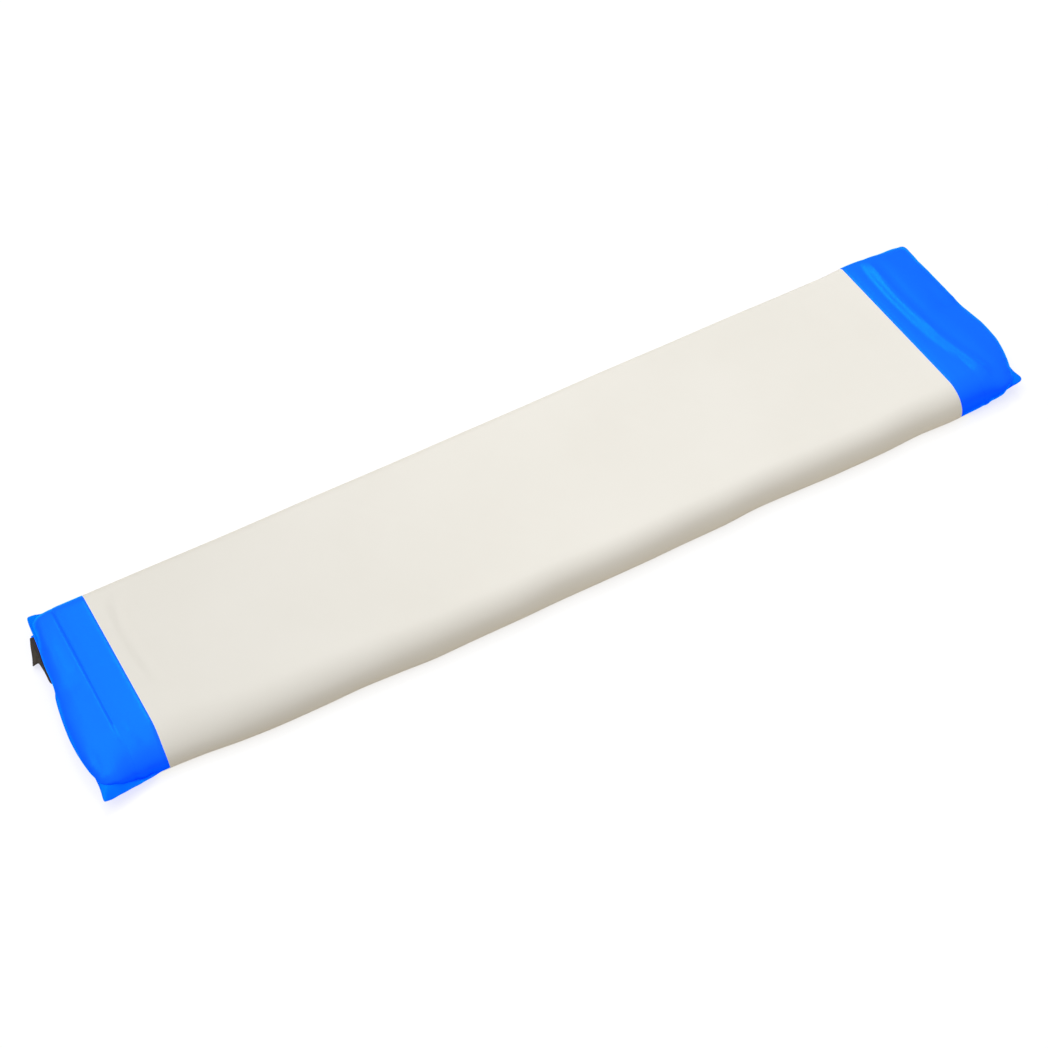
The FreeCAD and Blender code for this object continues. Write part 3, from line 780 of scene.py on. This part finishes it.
def inflate(first, last, side):
    """Adds wrinkles to a pillow end, with the cloth held at its joint and at its weld.

    The swelling itself is already in the form, so only the finer part of the movement stays.
    """
    grid, normals = HULL[first:last + 1], HULL_NORMALS[first:last + 1]
    rows, columns = grid.shape[:2]
    tip, root = (0, rows - 1) if side < 0 else (rows - 1, 0)
    held = [row * columns + j for row in (tip, root, root + side) for j in range(columns)]
    moved = (simulate_cloth(grid, held) * normals).sum(2)[..., None]
    fine = smooth_grid(moved, 2) - smooth_grid(moved, 26)
    fine = INFLATE_LIMIT * np.tanh(0.5 * fine[..., 0] / INFLATE_LIMIT)
    from_root = np.abs(np.arange(rows) - root)
    fade = ease(from_root, 2, 9)[:, None] * (1 - ease(from_root, rows - 5, rows - 1))[:, None]
    calm_sides = 1 - 0.75 * ease(np.abs(grid[..., 1]), 0.40, 0.46)
    off_floor = np.where(grid[..., 2] < 0.012, 0.0, 1.0)
    HULL[first:last + 1] = grid + normals * (fine * fade * calm_sides * off_floor)[..., None]


inflate(1, near_row(-2.120), -1)
inflate(near_row(2.010), ROW_COUNT - 2, 1)
HULL_NORMALS = grid_normals(HULL)

# ------------------------------------------------------------------ outer skins

VALVE_X, VALVE_Z = 1.650, 0.066          # the valve's axis, which runs along Y
BORE_RADIUS = 0.0192
BORE_Y = (0.470, 0.530)
BORE_SEGMENTS = 96


def bore(made):
    """Cuts the round opening for the valve barrel through a skin, along Y."""
    count = BORE_SEGMENTS
    turns = [k * 2 * math.pi / count for k in range(count)]
    verts = [(VALVE_X + BORE_RADIUS * math.cos(a), y, VALVE_Z + BORE_RADIUS * math.sin(a))
             for y in BORE_Y for a in turns]
    faces = [(k, (k + 1) % count, count + (k + 1) % count, count + k) for k in range(count)]
    faces += [tuple(range(count - 1, -1, -1)), tuple(range(count, 2 * count))]
    cutter = mesh_object("valve_bore_cutter", verts, faces)
    modifier = made.modifiers.new("bore", "BOOLEAN")
    modifier.operation = "DIFFERENCE"
    modifier.solver = "EXACT"
    modifier.object = cutter
    graph = bpy.context.evaluated_depsgraph_get()
    mesh = bpy.data.meshes.new_from_object(made.evaluated_get(graph),
                                           preserve_all_data_layers=True, depsgraph=graph)
    made.modifiers.clear()
    made.data = mesh
    bpy.data.objects.remove(cutter)
    shade(mesh, 38)


def sleeve():
    """The cream cover, which runs under the joint strips at both ends."""
    grid, normals = hull_part(-2.100, 1.990)
    made = skin("outer_sleeve_cover", grid, normals, 0.0, -0.0011)
    bore(made)
    dress(made, CREAM, "cream_pvc", "outer_sleeve")


def cap(name, rows, side, replaced):
    """A pillow end, closed at its welded nose, open where it meets the sleeve."""
    grid, normals = HULL[rows], HULL_NORMALS[rows]
    tip = 0 if side < 0 else -1
    outer = grid - normals * 0.0004
    outer[tip] = grid[tip]
    inner = grid - normals * 0.0015
    inner[tip] = grid[tip] + np.array([-side * 0.0035, 0, 0])
    count, columns = grid.shape[:2]
    back = count * columns
    verts = np.concatenate([outer.reshape(-1, 3), inner.reshape(-1, 3)])
    faces = grid_faces(count, columns) + grid_faces(count, columns, back, flip=True)
    mouth = (count - 1) * columns if side < 0 else 0
    for j in range(columns):
        k = (j + 1) % columns
        faces.append((mouth + j, mouth + k, back + mouth + k, back + mouth + j))
    made = mesh_object(name, verts, faces, weld=2e-6, angle=50)
    dress(made, BLUE, "blue_pvc", replaced)


def joint_strip(name, first_x, last_x, replaced):
    """The strip welded over the butt between cover and end, with thin rounded edges."""
    grid, normals = hull_part(first_x, last_x)
    along = path_lengths(grid[:, RING_POINTS // 4])
    from_edge = np.minimum(along, along[-1] - along)
    thickness = 0.00015 + 0.00085 * ease(from_edge, 0, 0.0016)
    made = skin(name, grid, normals, thickness[:, None, None], -0.0002, angle=60)
    dress(made, BLUE, "blue_pvc", replaced)


sleeve()
cap("left_pillow_end", slice(0, near_row(-2.103) + 1), -1, "left_end_cap")
cap("right_pillow_end", slice(near_row(1.993), ROW_COUNT), 1, "right_end_cap")
joint_strip("left_joint_strip", START_X[-1], SEAM_LEFT, "left_joint_band")
joint_strip("right_joint_strip", SEAM_RIGHT, START_X[1], "right_joint_band")


def wear_row(i):
    """Points and normals, in six columns, of one row of the wear sheet from far to near."""
    path = np.concatenate([HULL[i], HULL_NORMALS[i]], 1)
    path = np.concatenate([path[HALF:], path[:1]])
    top_z = 0.0275 + 0.0012 * math.sin(ROW_X[i] * 9.0)
    low = np.where(path[:, 2] < top_z)[0]

    def cut(below, above):
        f = (top_z - path[below, 2]) / (path[above, 2] - path[below, 2])
        return path[below] + (path[above] - path[below]) * f

    path = np.concatenate([[cut(low[0], low[0] - 1)], path[low[0]:low[-1] + 1],
                           [cut(low[-1], low[-1] + 1)]])
    lengths = path_lengths(path[:, :3])
    total, edge = lengths[-1], 0.05      # the two turned-up edges get closer points
    wanted = np.concatenate([np.linspace(0, edge, 11), np.linspace(edge, total - edge, 31)[1:-1],
                             np.linspace(total - edge, total, 11)])
    row = sample_rows(path, lengths, wanted)
    row[:, 3:] /= np.linalg.norm(row[:, 3:], axis=1, keepdims=True)
    return row


def wear_sheet():
    """Wraps the floor side and turns a little way up both long edges."""
    rows = np.stack([wear_row(i) for i in range(near_row(-2.096), near_row(1.986) + 1)])
    edge = np.ones(rows.shape[1])
    edge[0] = edge[-1] = 0.95
    made = skin("underside_wear_skin", rows[..., :3], rows[..., 3:],
                (0.0016 * edge)[None, :, None], 0.0001, closed=False)
    for vertex in made.data.vertices:    # nothing goes below the floor
        vertex.co.z = max(vertex.co.z, 0.0)
    dress(made, WEAR, "wear_pvc", "underside_wear_sheet")


wear_sheet()

# ------------------------------------------------------------------ flat welded fins
# (x, y, z) of the fins' outer edges, from the near side, round the near ear, the end and the
# far ear, to the far side

LEFT_FIN_EDGE = [
    (-2.080, -0.4540, 0.026), (-2.128, -0.4660, 0.033), (-2.160, -0.4705, 0.036),
    (-2.219, -0.4800, 0.042), (-2.274, -0.4885, 0.048), (-2.3270, -0.4930, 0.0545),
    (-2.3345, -0.4915, 0.055), (-2.3370, -0.4850, 0.0555), (-2.3355, -0.4690, 0.058),
    (-2.3315, -0.4430, 0.060), (-2.3290, -0.4080, 0.064), (-2.3290, -0.3810, 0.068),
    (-2.3350, -0.3410, 0.070), (-2.3410, -0.3010, 0.072), (-2.3510, -0.2430, 0.072),
    (-2.3530, -0.1700, 0.072), (-2.3500, -0.1090, 0.072), (-2.3390, 0.0000, 0.072),
    (-2.3290, 0.0600, 0.0725), (-2.3130, 0.1080, 0.0735), (-2.3095, 0.1300, 0.0738),
    (-2.3085, 0.2000, 0.0740), (-2.3060, 0.2600, 0.0742), (-2.3010, 0.3200, 0.0745),
    (-2.2965, 0.3790, 0.0745), (-2.2935, 0.4400, 0.0745), (-2.2900, 0.4840, 0.0750),
    (-2.2860, 0.5010, 0.0760), (-2.2800, 0.5075, 0.0760), (-2.2680, 0.5085, 0.0760),
    (-2.2520, 0.5065, 0.0755), (-2.2380, 0.5010, 0.0750), (-2.2250, 0.4970, 0.0745),
    (-2.2050, 0.4980, 0.072), (-2.1500, 0.5000, 0.062), (-2.110, 0.4960, 0.050)]
RIGHT_FIN_EDGE = [
    (1.950, -0.4885, 0.028), (1.998, -0.4900, 0.034), (2.078, -0.4885, 0.040),
    (2.155, -0.4810, 0.045), (2.204, -0.4760, 0.052), (2.236, -0.4745, 0.058),
    (2.262, -0.4760, 0.064), (2.283, -0.4740, 0.068), (2.2950, -0.4660, 0.070),
    (2.2985, -0.4540, 0.071), (2.2960, -0.4360, 0.072), (2.2920, -0.4080, 0.074),
    (2.2930, -0.3800, 0.074), (2.3030, -0.3440, 0.074), (2.3240, -0.2800, 0.073),
    (2.3460, -0.1900, 0.072), (2.3520, -0.1040, 0.072), (2.3320, -0.0100, 0.072),
    (2.3330, 0.0780, 0.072), (2.3300, 0.1200, 0.0738), (2.3300, 0.1500, 0.0740),
    (2.3300, 0.3110, 0.0750), (2.3305, 0.4100, 0.0760), (2.3310, 0.4500, 0.0780),
    (2.3310, 0.4980, 0.0790), (2.3270, 0.5160, 0.0800), (2.3190, 0.5260, 0.0800),
    (2.3050, 0.5300, 0.0800), (2.2800, 0.5300, 0.0800), (2.2450, 0.5260, 0.0795),
    (2.200, 0.5200, 0.078), (2.140, 0.5160, 0.072), (2.060, 0.5130, 0.062),
    (1.990, 0.508, 0.052)]
FIN_OVERLAP = 0.006                      # how far a fin reaches inside the pillow's closing line
FIN_POINTS = 320
# half thickness across a fin, with a pressed line just inside its edge
FIN_HALF = np.array([0.0010] * 6 + [0.00075, 0.00085, 0.00045])


def closing_points(side):
    """Pairs of a point on a pillow end's closing line and the same point moved inside."""
    start_x, end_x = START_X[side], END_X[side]
    pairs = []
    for w in np.linspace(0, 1, 121):
        upper, _ = section(start_x, w, side)
        for (y, z), sign in ((upper[0], -1), (upper[-1], 1)):
            start = start_x - SKEW * y
            point = np.array([start + (float(end_x(y)) - start) * w, y, z])
            pairs.append((point, point - np.array([0, sign * FIN_OVERLAP, 0])))
    upper, _ = section(start_x, 1.0, side)
    for y in np.linspace(upper[0, 0], upper[-1, 0], 81):
        point = np.array([float(end_x(y)), y, WELD_Z])
        pairs.append((point, point + np.array([-side * FIN_OVERLAP, 0, 0])))
    return pairs


def fin_inner(side, outer):
    """For each outer point, the nearest closing point of the pillow, moved inside."""
    pairs = closing_points(side)
    inner = []
    for x, y, _ in outer:
        if side * x < side * START_X[side]:          # along the sleeve, before the pillow
            upper, _ = section(x)
            edge_y, edge_z = upper[0] if y < 0 else upper[-1]
            inner.append([x, edge_y - math.copysign(FIN_OVERLAP, edge_y), edge_z])
        else:
            target = np.array([x, y])
            inner.append(min(pairs, key=lambda pair: np.linalg.norm(pair[0][:2] - target))[1])
    return np.array(inner)


def fin(name, side, edge):
    inner = fin_inner(side, edge)
    outer_path, inner_path = resample(edge, FIN_POINTS), resample(inner, FIN_POINTS, edge)
    relax(inner_path, 6)
    # a fin is never quite flat: it lifts and drops a little along its length
    s = np.linspace(0, 1, FIN_POINTS)
    ripple = 0.0010 * np.sin(2 * np.pi * s * 11) + 0.0008 * np.sin(2 * np.pi * s * 23 + 1)
    width = np.linalg.norm((outer_path - inner_path)[:, :2], axis=1)
    columns = len(FIN_HALF)
    grid = np.zeros((FIN_POINTS, columns, 3))
    for c in range(columns):
        u = c / (columns - 1)
        line = inner_path + (outer_path - inner_path) * u
        lift = ripple * u**2 * np.clip(width / 0.03, 0, 1.6)
        line[:, 2] += lift * (np.abs(s - 0.5) < 0.47)
        grid[:, c] = line
    up = np.zeros_like(grid)
    up[:, :, 2] = 1.0
    half = FIN_HALF[None, :, None]
    made = skin(name, grid, up, half, -half, closed=False, angle=55, weld=4e-6)
    dress(made, BLUE_FIN, "blue_pvc")


fin("left_welded_fin", -1, LEFT_FIN_EDGE)
fin("right_welded_fin", 1, RIGHT_FIN_EDGE)

# ------------------------------------------------------------------ inner plies, linings, yarns

INNER_ROWS = list(range(near_row(-2.086), near_row(1.975) + 1, 2))


def inner_ring(i, depth):
    return HULL[i] - HULL_NORMALS[i] * depth


def ply(name, replaced, top):
    """The upper or lower drop-stitch cloth. Returns its grid of points."""
    y = np.linspace(-0.432, 0.432, 49)
    rows = []
    for i in INNER_ROWS:
        points = inner_ring(i, 0.0034)
        if top:
            curve = points[3:NEAR_ARC + TOP_FLAT + 4]
        else:
            curve = np.concatenate([points[:1], points[RING_POINTS - 1:HALF - 1:-1]])
            curve = curve[2:HALF - 1]
        row = sample_rows(curve, curve[:, 1], y)
        row[:, 1] = y
        rows.append(row)
    grid = np.stack(rows)
    normals = grid_normals(grid, closed=False)
    if normals[..., 2].mean() < 0:
        normals = -normals
    made = skin(name, grid, normals, 0.00045, -0.00045, closed=False)
    dress(made, CLOTH, "drop_stitch_fabric", replaced)
    return grid


def side_lining(name, replaced, near):
    rows = []
    for i in INNER_ROWS:
        points = inner_ring(i, 0.0022)
        if near:
            curve = np.concatenate([points[RING_POINTS - 9:], points[:NEAR_ARC + 5]])
        else:
            curve = points[NEAR_ARC + TOP_FLAT - 2:HALF + 9]
        curve = curve[curve[:, 2] > 0.006]
        lengths = path_lengths(curve)
        rows.append(sample_rows(curve, lengths, np.linspace(0, lengths[-1], 26)))
    grid = np.stack(rows)
    normals = grid_normals(grid, closed=False)
    if (normals[..., 1].mean() > 0) == near:
        normals = -normals
    made = skin(name, grid, normals, 0.00035, -0.00035, closed=False)
    if not near:
        bore(made)
    dress(made, LINING, "lining_pvc", replaced)


def yarns(top_ply, bottom_ply):
    """Yarns from one cloth to the other, leaning a little both ways as they do in the weave."""
    radius, lean, sink, sides = 0.0010, 0.012, 0.0006, 5
    verts, faces = [], []
    for n, row in enumerate(range(1, top_ply.shape[0] - 1, 2)):
        for m, y in enumerate(np.linspace(-0.40, 0.40, 17)):
            foot_y = y + (lean if (n + m) % 2 else -lean)
            top = sample_rows(top_ply[row], top_ply[row, :, 1], y) - [0, 0, sink]
            foot = sample_rows(bottom_ply[row], bottom_ply[row, :, 1], foot_y) + [0, 0, sink]
            start = len(verts)
            for centre in (top, (top + foot) / 2, foot):
                for k in range(sides):
                    turn = k * 2 * math.pi / sides
                    verts.append(centre + np.array([math.cos(turn), math.sin(turn), 0]) * radius)
            faces += grid_faces(3, sides, start)
            faces.append(tuple(start + k for k in range(sides)))
            faces.append(tuple(start + 2 * sides + k for k in range(sides - 1, -1, -1)))
    made = mesh_object("drop_stitch_yarn_field", verts, faces)
    dress(made, YARN, "drop_stitch_fabric", "drop_stitch_yarns")


TOP_PLY = ply("drop_stitch_top_cloth", "drop_stitch_top_ply", top=True)
BOTTOM_PLY = ply("drop_stitch_bottom_cloth", "drop_stitch_bottom_ply", top=False)
side_lining("near_side_lining_skin", "side_lining_near", near=True)
side_lining("far_side_lining_skin", "side_lining_far", near=False)
yarns(TOP_PLY, BOTTOM_PLY)

# ------------------------------------------------------------------ carry handles
# The two edges of the flat strap: station 0 to 1 along it, then Y and distance past the hinge
# line in millimetres, for the outer edge and for the inner edge

STRAP_EDGES = np.array([
    (0, 402, -34, 352, -34), (0.16, 402, 1, 351, -18), (0.175, 399, 4, 348, -14),
    (0.205, 389, 12, 342, -13), (0.26, 370, 28, 335, -12), (0.32, 347, 46, 328, -11),
    (0.37, 324, 60, 320, -10), (0.405, 310, 67, 312, -9.4), (0.42, 306, 68, 306, -9),
    (0.44, 300, 67, 300, -8.6), (0.465, 296, 61, 294, -8.2), (0.50, 290, 47, 288, -7.8),
    (0.54, 282, 30, 282, -7.4), (0.565, 275, 24.5, 274, -7), (0.59, 265, 20.5, 264, -6.2),
    (0.66, 235, 17.5, 240, -5), (0.72, 205, 17, 215, -3.6), (0.79, 167, 17, 190, -3.0),
    (0.81, 154, 14, 183, -3.2), (0.835, 142, 8, 177, -4.2), (0.86, 132, 1, 172, -7),
    (1, 132, -34, 170, -34)])
HINGE_Z = 0.0714
HINGE_BEND_R = 0.0018
STRAP_ROWS, STRAP_COLUMNS = 240, 15


def over_hinge(distance, drop):
    """Place (x, z) and normal (x, z) on a tape: level before the hinge line, hanging past it."""
    arc = HINGE_BEND_R * drop
    if distance <= 0:
        return distance, 0.0, 0.0, 1.0
    turn = min(distance / HINGE_BEND_R, drop) if distance < arc else drop
    straight = max(distance - arc, 0.0)
    return (HINGE_BEND_R * math.sin(turn) + straight * math.cos(turn),
            -HINGE_BEND_R * (1 - math.cos(turn)) - straight * math.sin(turn),
            math.sin(turn), math.cos(turn))


def handle(prefix, side, hinge_x, drop_degrees, slackness):
    """A webbing strap sewn under the fin, hanging drop_degrees below level at rest."""
    t = np.linspace(0, 1, STRAP_ROWS)
    u = np.linspace(0, 1, STRAP_COLUMNS)
    outer = sample_rows(STRAP_EDGES[:, 1:3], STRAP_EDGES[:, 0], t) / 1000
    inner = sample_rows(STRAP_EDGES[:, 3:5], STRAP_EDGES[:, 0], t) / 1000
    relax(outer, 5)
    relax(inner, 5)
    flat = np.stack([inner + (outer - inner) * c / (STRAP_COLUMNS - 1)
                     for c in range(STRAP_COLUMNS)], 1)
    y, past = flat[..., 0], flat[..., 1]
    # one layer of webbing, thicker where it is folded for the grip, thinner at its selvedges
    grip = ease(t, 0.50, 0.58) * (1 - ease(t, 0.78, 0.83))
    half = (0.00125 + 0.0010 * grip)[:, None] * (1 - 0.45 * np.abs(2 * u - 1)[None, :] ** 6)
    # the tape bellies between its ends, creases once and rolls a little at the grip
    belly = 0.0020 * np.sin(2 * np.pi * t * 2.3 + 0.5) + 0.0013 * np.sin(2 * np.pi * t * 5.1)
    slack = belly[:, None] * ease(past, 0.006, 0.03) * slackness
    crease = (0.0010 * np.exp(-((y - (0.282 + 0.25 * past)) / 0.006) ** 2)
              * ease(past, 0.004, 0.015))
    roll = 0.0018 * grip[:, None] * (np.abs(2 * u - 1)[None, :] ** 2 - 0.5)
    drop = math.radians(drop_degrees)
    grid, normals = np.zeros((2, STRAP_ROWS, STRAP_COLUMNS, 3))
    for r in range(STRAP_ROWS):
        for c in range(STRAP_COLUMNS):
            x, z, normal_x, normal_z = over_hinge(past[r, c], drop)
            grid[r, c] = (hinge_x + side * x, y[r, c], HINGE_Z + z)
            normals[r, c] = (side * normal_x, 0, normal_z)
    grid = grid + normals * (slack + crease - roll)[:, :, None]

    along = path_lengths(grid[:, STRAP_COLUMNS // 2])
    width = np.linalg.norm(outer - inner, axis=1)
    uvs = np.stack([np.repeat(along[:, None], STRAP_COLUMNS, 1), u[None, :] * width[:, None]], 2)
    half = half[:, :, None]
    made = skin(prefix + "_carry_webbing", grid, normals, half, -half, closed=False, uvs=uvs,
                angle=60)
    made.data.materials.append(WEB)
    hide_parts(prefix + "_strap", prefix + "_anchor_webbing")
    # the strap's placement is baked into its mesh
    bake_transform(made)


handle("left_handle", side=-1, hinge_x=-2.3110, drop_degrees=60, slackness=1.0)
handle("right_handle", side=1, hinge_x=2.3320, drop_degrees=85, slackness=0.4)

THREAD_R = 0.00038
STITCH_PITCH = 0.0036
STITCH_GAP = 0.25                        # share of the pitch between two stitches
# along a stitch: (place, width factor, height factor)
STITCH_PROFILE = ((0.0, 0.35, 0.0), (0.18, 1.0, 0.8), (0.82, 1.0, 0.8), (1.0, 0.35, 0.0))


def add_stitch(verts, faces, start, end, z):
    """One small raised capsule of thread under height z."""
    first = len(verts)
    direction = (end - start) / np.linalg.norm(end - start)
    across = np.array([-direction[1], direction[0]])
    for place, width, height in STITCH_PROFILE:
        for k in (-1, 0, 1):
            x, y = start + (end - start) * place + across * k * THREAD_R * width
            verts.append((x, y, z - THREAD_R * (1.0 if k == 0 else 0.3) * height))
    back = len(verts)
    verts += [(x, y, z + 0.0003) for x, y, _ in verts[first:]]
    faces += grid_faces(4, 3, first, closed=False)
    faces += grid_faces(4, 3, back, closed=False, flip=True)
    for i in range(3):
        a, b = i * 3, (i + 1) * 3
        faces.append((first + a, first + b, back + b, back + a))
        faces.append((first + a + 2, back + a + 2, back + b + 2, first + b + 2))
    for row in (0, 9):
        for k in (row, row + 1):
            faces.append((first + k, back + k, back + k + 1, first + k + 1))


def box_stitching(name, boxes, z):
    """Sewn rows round each box (x0, x1, y0, y1) and crossed through it."""
    verts, faces = [], []
    for x0, x1, y0, y1 in boxes:
        a, b, c, d = (np.array(corner, float)
                      for corner in ((x0, y0), (x1, y0), (x1, y1), (x0, y1)))
        for start, end in ((a, b), (b, c), (c, d), (d, a), (a, c), (d, b)):
            count = max(1, int(np.linalg.norm(end - start) / STITCH_PITCH))
            for k in range(count):
                add_stitch(verts, faces,
                           start + (end - start) * (k + STITCH_GAP / 2) / count,
                           start + (end - start) * (k + 1 - STITCH_GAP / 2) / count, z)
    dress(mesh_object(name, verts, faces), THREAD, "black_webbing")


def anchor_pads(prefix):
    """Patches under the webbing ends, with rounded corners and soft edges, and their sewing."""
    low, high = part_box(prefix + "_anchor_pads")
    radius = 0.006
    # (scale about the centre, z) of each ring, from the top face round to the bottom one
    rings = [(0.90, high[2]), (1.0, high[2]), (1.0, low[2] + 0.0004), (0.994, low[2] + 0.0001),
             (0.96, low[2]), (0.5, low[2])]
    verts, faces = [], []
    for y0, y1 in ((0.122, 0.180), (0.342, 0.412)):
        right, left = high[0] - radius, low[0] + radius
        corners = ((right, y1 - radius, 0), (left, y1 - radius, 90),
                   (left, y0 + radius, 180), (right, y0 + radius, 270))
        outline = []
        for x, y, start_angle in corners:
            for k in range(7):
                angle = math.radians(start_angle + k * 15)
                outline.append((x + radius * math.cos(angle), y + radius * math.sin(angle)))
        outline = np.array(outline)
        centre = outline.mean(0)
        count, first = len(outline), len(verts)
        for scale, z in rings:
            verts += [(x, y, z) for x, y in centre + (outline - centre) * scale]
        faces += grid_faces(len(rings), count, first)
        last = first + (len(rings) - 1) * count
        faces.append(tuple(first + k for k in range(count)))
        faces.append(tuple(last + k for k in range(count - 1, -1, -1)))
    made = mesh_object(prefix + "_reinforcing_patches", verts, faces)
    dress(made, BLUE_FIN, "blue_pvc", prefix + "_anchor_pads")
    boxes = [(low[0] + 0.004, high[0] - 0.004, y0, y1)
             for y0, y1 in ((0.135, 0.167), (0.358, 0.396))]
    box_stitching(prefix + "_box_stitching", boxes, low[2])


anchor_pads("left_handle")
anchor_pads("right_handle")

# ------------------------------------------------------------------ valve
# The valve keeps its CAD shapes, apart from the spring; each gets its own finish

VALVE_FINISH = {
    "valve_patch": PATCH,
    "valve_body": PLASTIC_BLACK,
    "valve_gasket": RUBBER,
    "valve_clamp_nut": PLASTIC_GREY,
    "valve_spring_cup": PLASTIC_GREY,
    "valve_plunger": PLASTIC_GREY,
    "valve_plunger_seal": RUBBER,
    "valve_cap": PLASTIC_BLACK,
    "valve_cap_seal": RUBBER,
    "valve_cap_hinge_pin": STEEL,
}
for part_name, finish in VALVE_FINISH.items():
    if part_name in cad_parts:      # a frame may come without some of the parts
        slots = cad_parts[part_name].data.materials
        slots.clear()
        slots.append(finish)


def valve_spring():
    """A coil along Y with closed ends, squashed when the plunger is pressed."""
    coil_r, wire_r, turns = 0.0043, 0.00045, 5
    steps, sides = turns * 28, 9
    low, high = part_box("valve_spring")
    y0, y1 = low[1] + wire_r, high[1] - wire_r
    verts = []
    for i in range(steps + 1):
        f = i / steps
        turn = f * turns * 2 * math.pi
        eased = 0.5 - 0.5 * math.cos(math.pi * min(1, max(0, (f - 0.06) / 0.88)))
        steady = min(1, max(0, (f - 0.08) / 0.84))
        centre = np.array([VALVE_X, y0 + (y1 - y0) * (0.25 * eased + 0.75 * steady), VALVE_Z])
        outward = np.array([math.cos(turn), 0, math.sin(turn)])
        for k in range(sides):
            angle = k * 2 * math.pi / sides
            verts.append(centre + outward * (coil_r + wire_r * math.cos(angle))
                         + np.array([0, wire_r * math.sin(angle), 0]))
    faces = grid_faces(steps + 1, sides)
    faces.append(tuple(range(sides - 1, -1, -1)))
    faces.append(tuple(steps * sides + k for k in range(sides)))
    made = mesh_object("valve_return_spring", verts, faces)
    dress(made, STEEL, "spring_steel", "valve_spring")
    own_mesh(made)


valve_spring()

# ------------------------------------------------------------------ floor, light and camera


def floor_material():
    """Pale to the camera, warmer and dimmer to other rays, and clear from below."""
    material, tree, shader = principled("studio_floor_pale", (0.86, 0.86, 0.86), roughness=0.9)
    to_camera = add_node(tree, "LightPath").outputs["Is Camera Ray"]
    feed(tree, shader, {
        "Base Color": mix(tree, to_camera, (0.30, 0.26, 0.20, 1), (0.30, 0.30, 0.30, 1)),
        "Emission Color": mix(tree, to_camera, (1.0, 0.93, 0.80, 1), (1, 1, 1, 1)),
        "Emission Strength": map_range(tree, to_camera, 0.52, 0.72),
        "Specular IOR Level": 0.0,
    })
    either = add_node(tree, "MixShader", {
        0: add_node(tree, "NewGeometry").outputs["Backfacing"],
        1: shader.outputs["BSDF"],
        2: add_node(tree, "BsdfTransparent").outputs["BSDF"],
    })
    feed(tree, tree.nodes["Material Output"], {"Surface": either.outputs[0]})
    return material


def floor():
    mesh = bpy.data.meshes.new("studio_floor")
    mesh.from_pydata([(-40, -40, 0), (40, -40, 0), (40, 40, 0), (-40, 40, 0)], [],
                     [(0, 1, 2, 3)])
    made = bpy.data.objects.new("studio_floor", mesh)
    SCENE.collection.objects.link(made)
    mesh.materials.append(floor_material())


def studio_world():
    """Plain white to the camera; to other rays, dark and warm low down, white higher up."""
    world = bpy.data.worlds.new("studio_world")
    SCENE.world = world
    world.use_nodes = True
    tree = world.node_tree
    place = add_node(tree, "TexCoord").outputs["Generated"]
    height = add_node(tree, "SeparateXYZ", {0: place}).outputs["Z"]
    sky = ramp(tree, height, (0.0, (0.07, 0.055, 0.035)), (0.27, (0.085, 0.066, 0.045)),
               (0.50, (1.0, 1.0, 1.0)))
    to_camera = add_node(tree, "LightPath").outputs["Is Camera Ray"]
    feed(tree, tree.nodes["Background"],
         {"Color": mix(tree, to_camera, sky, (1.45, 1.45, 1.45, 1)), "Strength": 0.66})


def sun(name, energy, degrees, towards, color=WHITE):
    """A sun of the given angular size, seen from the origin in the direction towards."""
    light = bpy.data.lights.new(name, "SUN")
    light.energy = energy
    light.angle = math.radians(degrees)
    light.color = color
    made = bpy.data.objects.new(name, light)
    SCENE.collection.objects.link(made)
    aim = Vector((0, 0, 0)) - Vector(towards)
    made.rotation_euler = aim.to_track_quat("-Z", "Y").to_euler()


def camera():
    lens = bpy.data.cameras.new("photo_camera")
    lens.sensor_width = 36.0
    lens.lens = 70.6407252
    lens.clip_end = 200
    made = bpy.data.objects.new("photo_camera", lens)
    SCENE.collection.objects.link(made)
    right = (0.87300191, -0.4877168, 0.0)
    up = (0.38327489, 0.68605328, 0.61841027)
    back = (-0.30160907, -0.53987334, 0.78585542)
    place = (-2.92986917, -5.0181526, 7.25465391)
    made.matrix_world = Matrix([*zip(right, up, back, place), (0, 0, 0, 1)])
    SCENE.camera = made


floor()
studio_world()
sun("soft_overhead_key", energy=1.22, degrees=55, towards=(-0.30, 0.22, 0.92),
    color=(1.0, 0.992, 0.975))
sun("sheen_light", energy=0.46, degrees=12, towards=(0.25, 0.54, 0.803))
camera()
SCENE.view_settings.view_transform = "Standard"
SCENE.view_settings.look = "None"
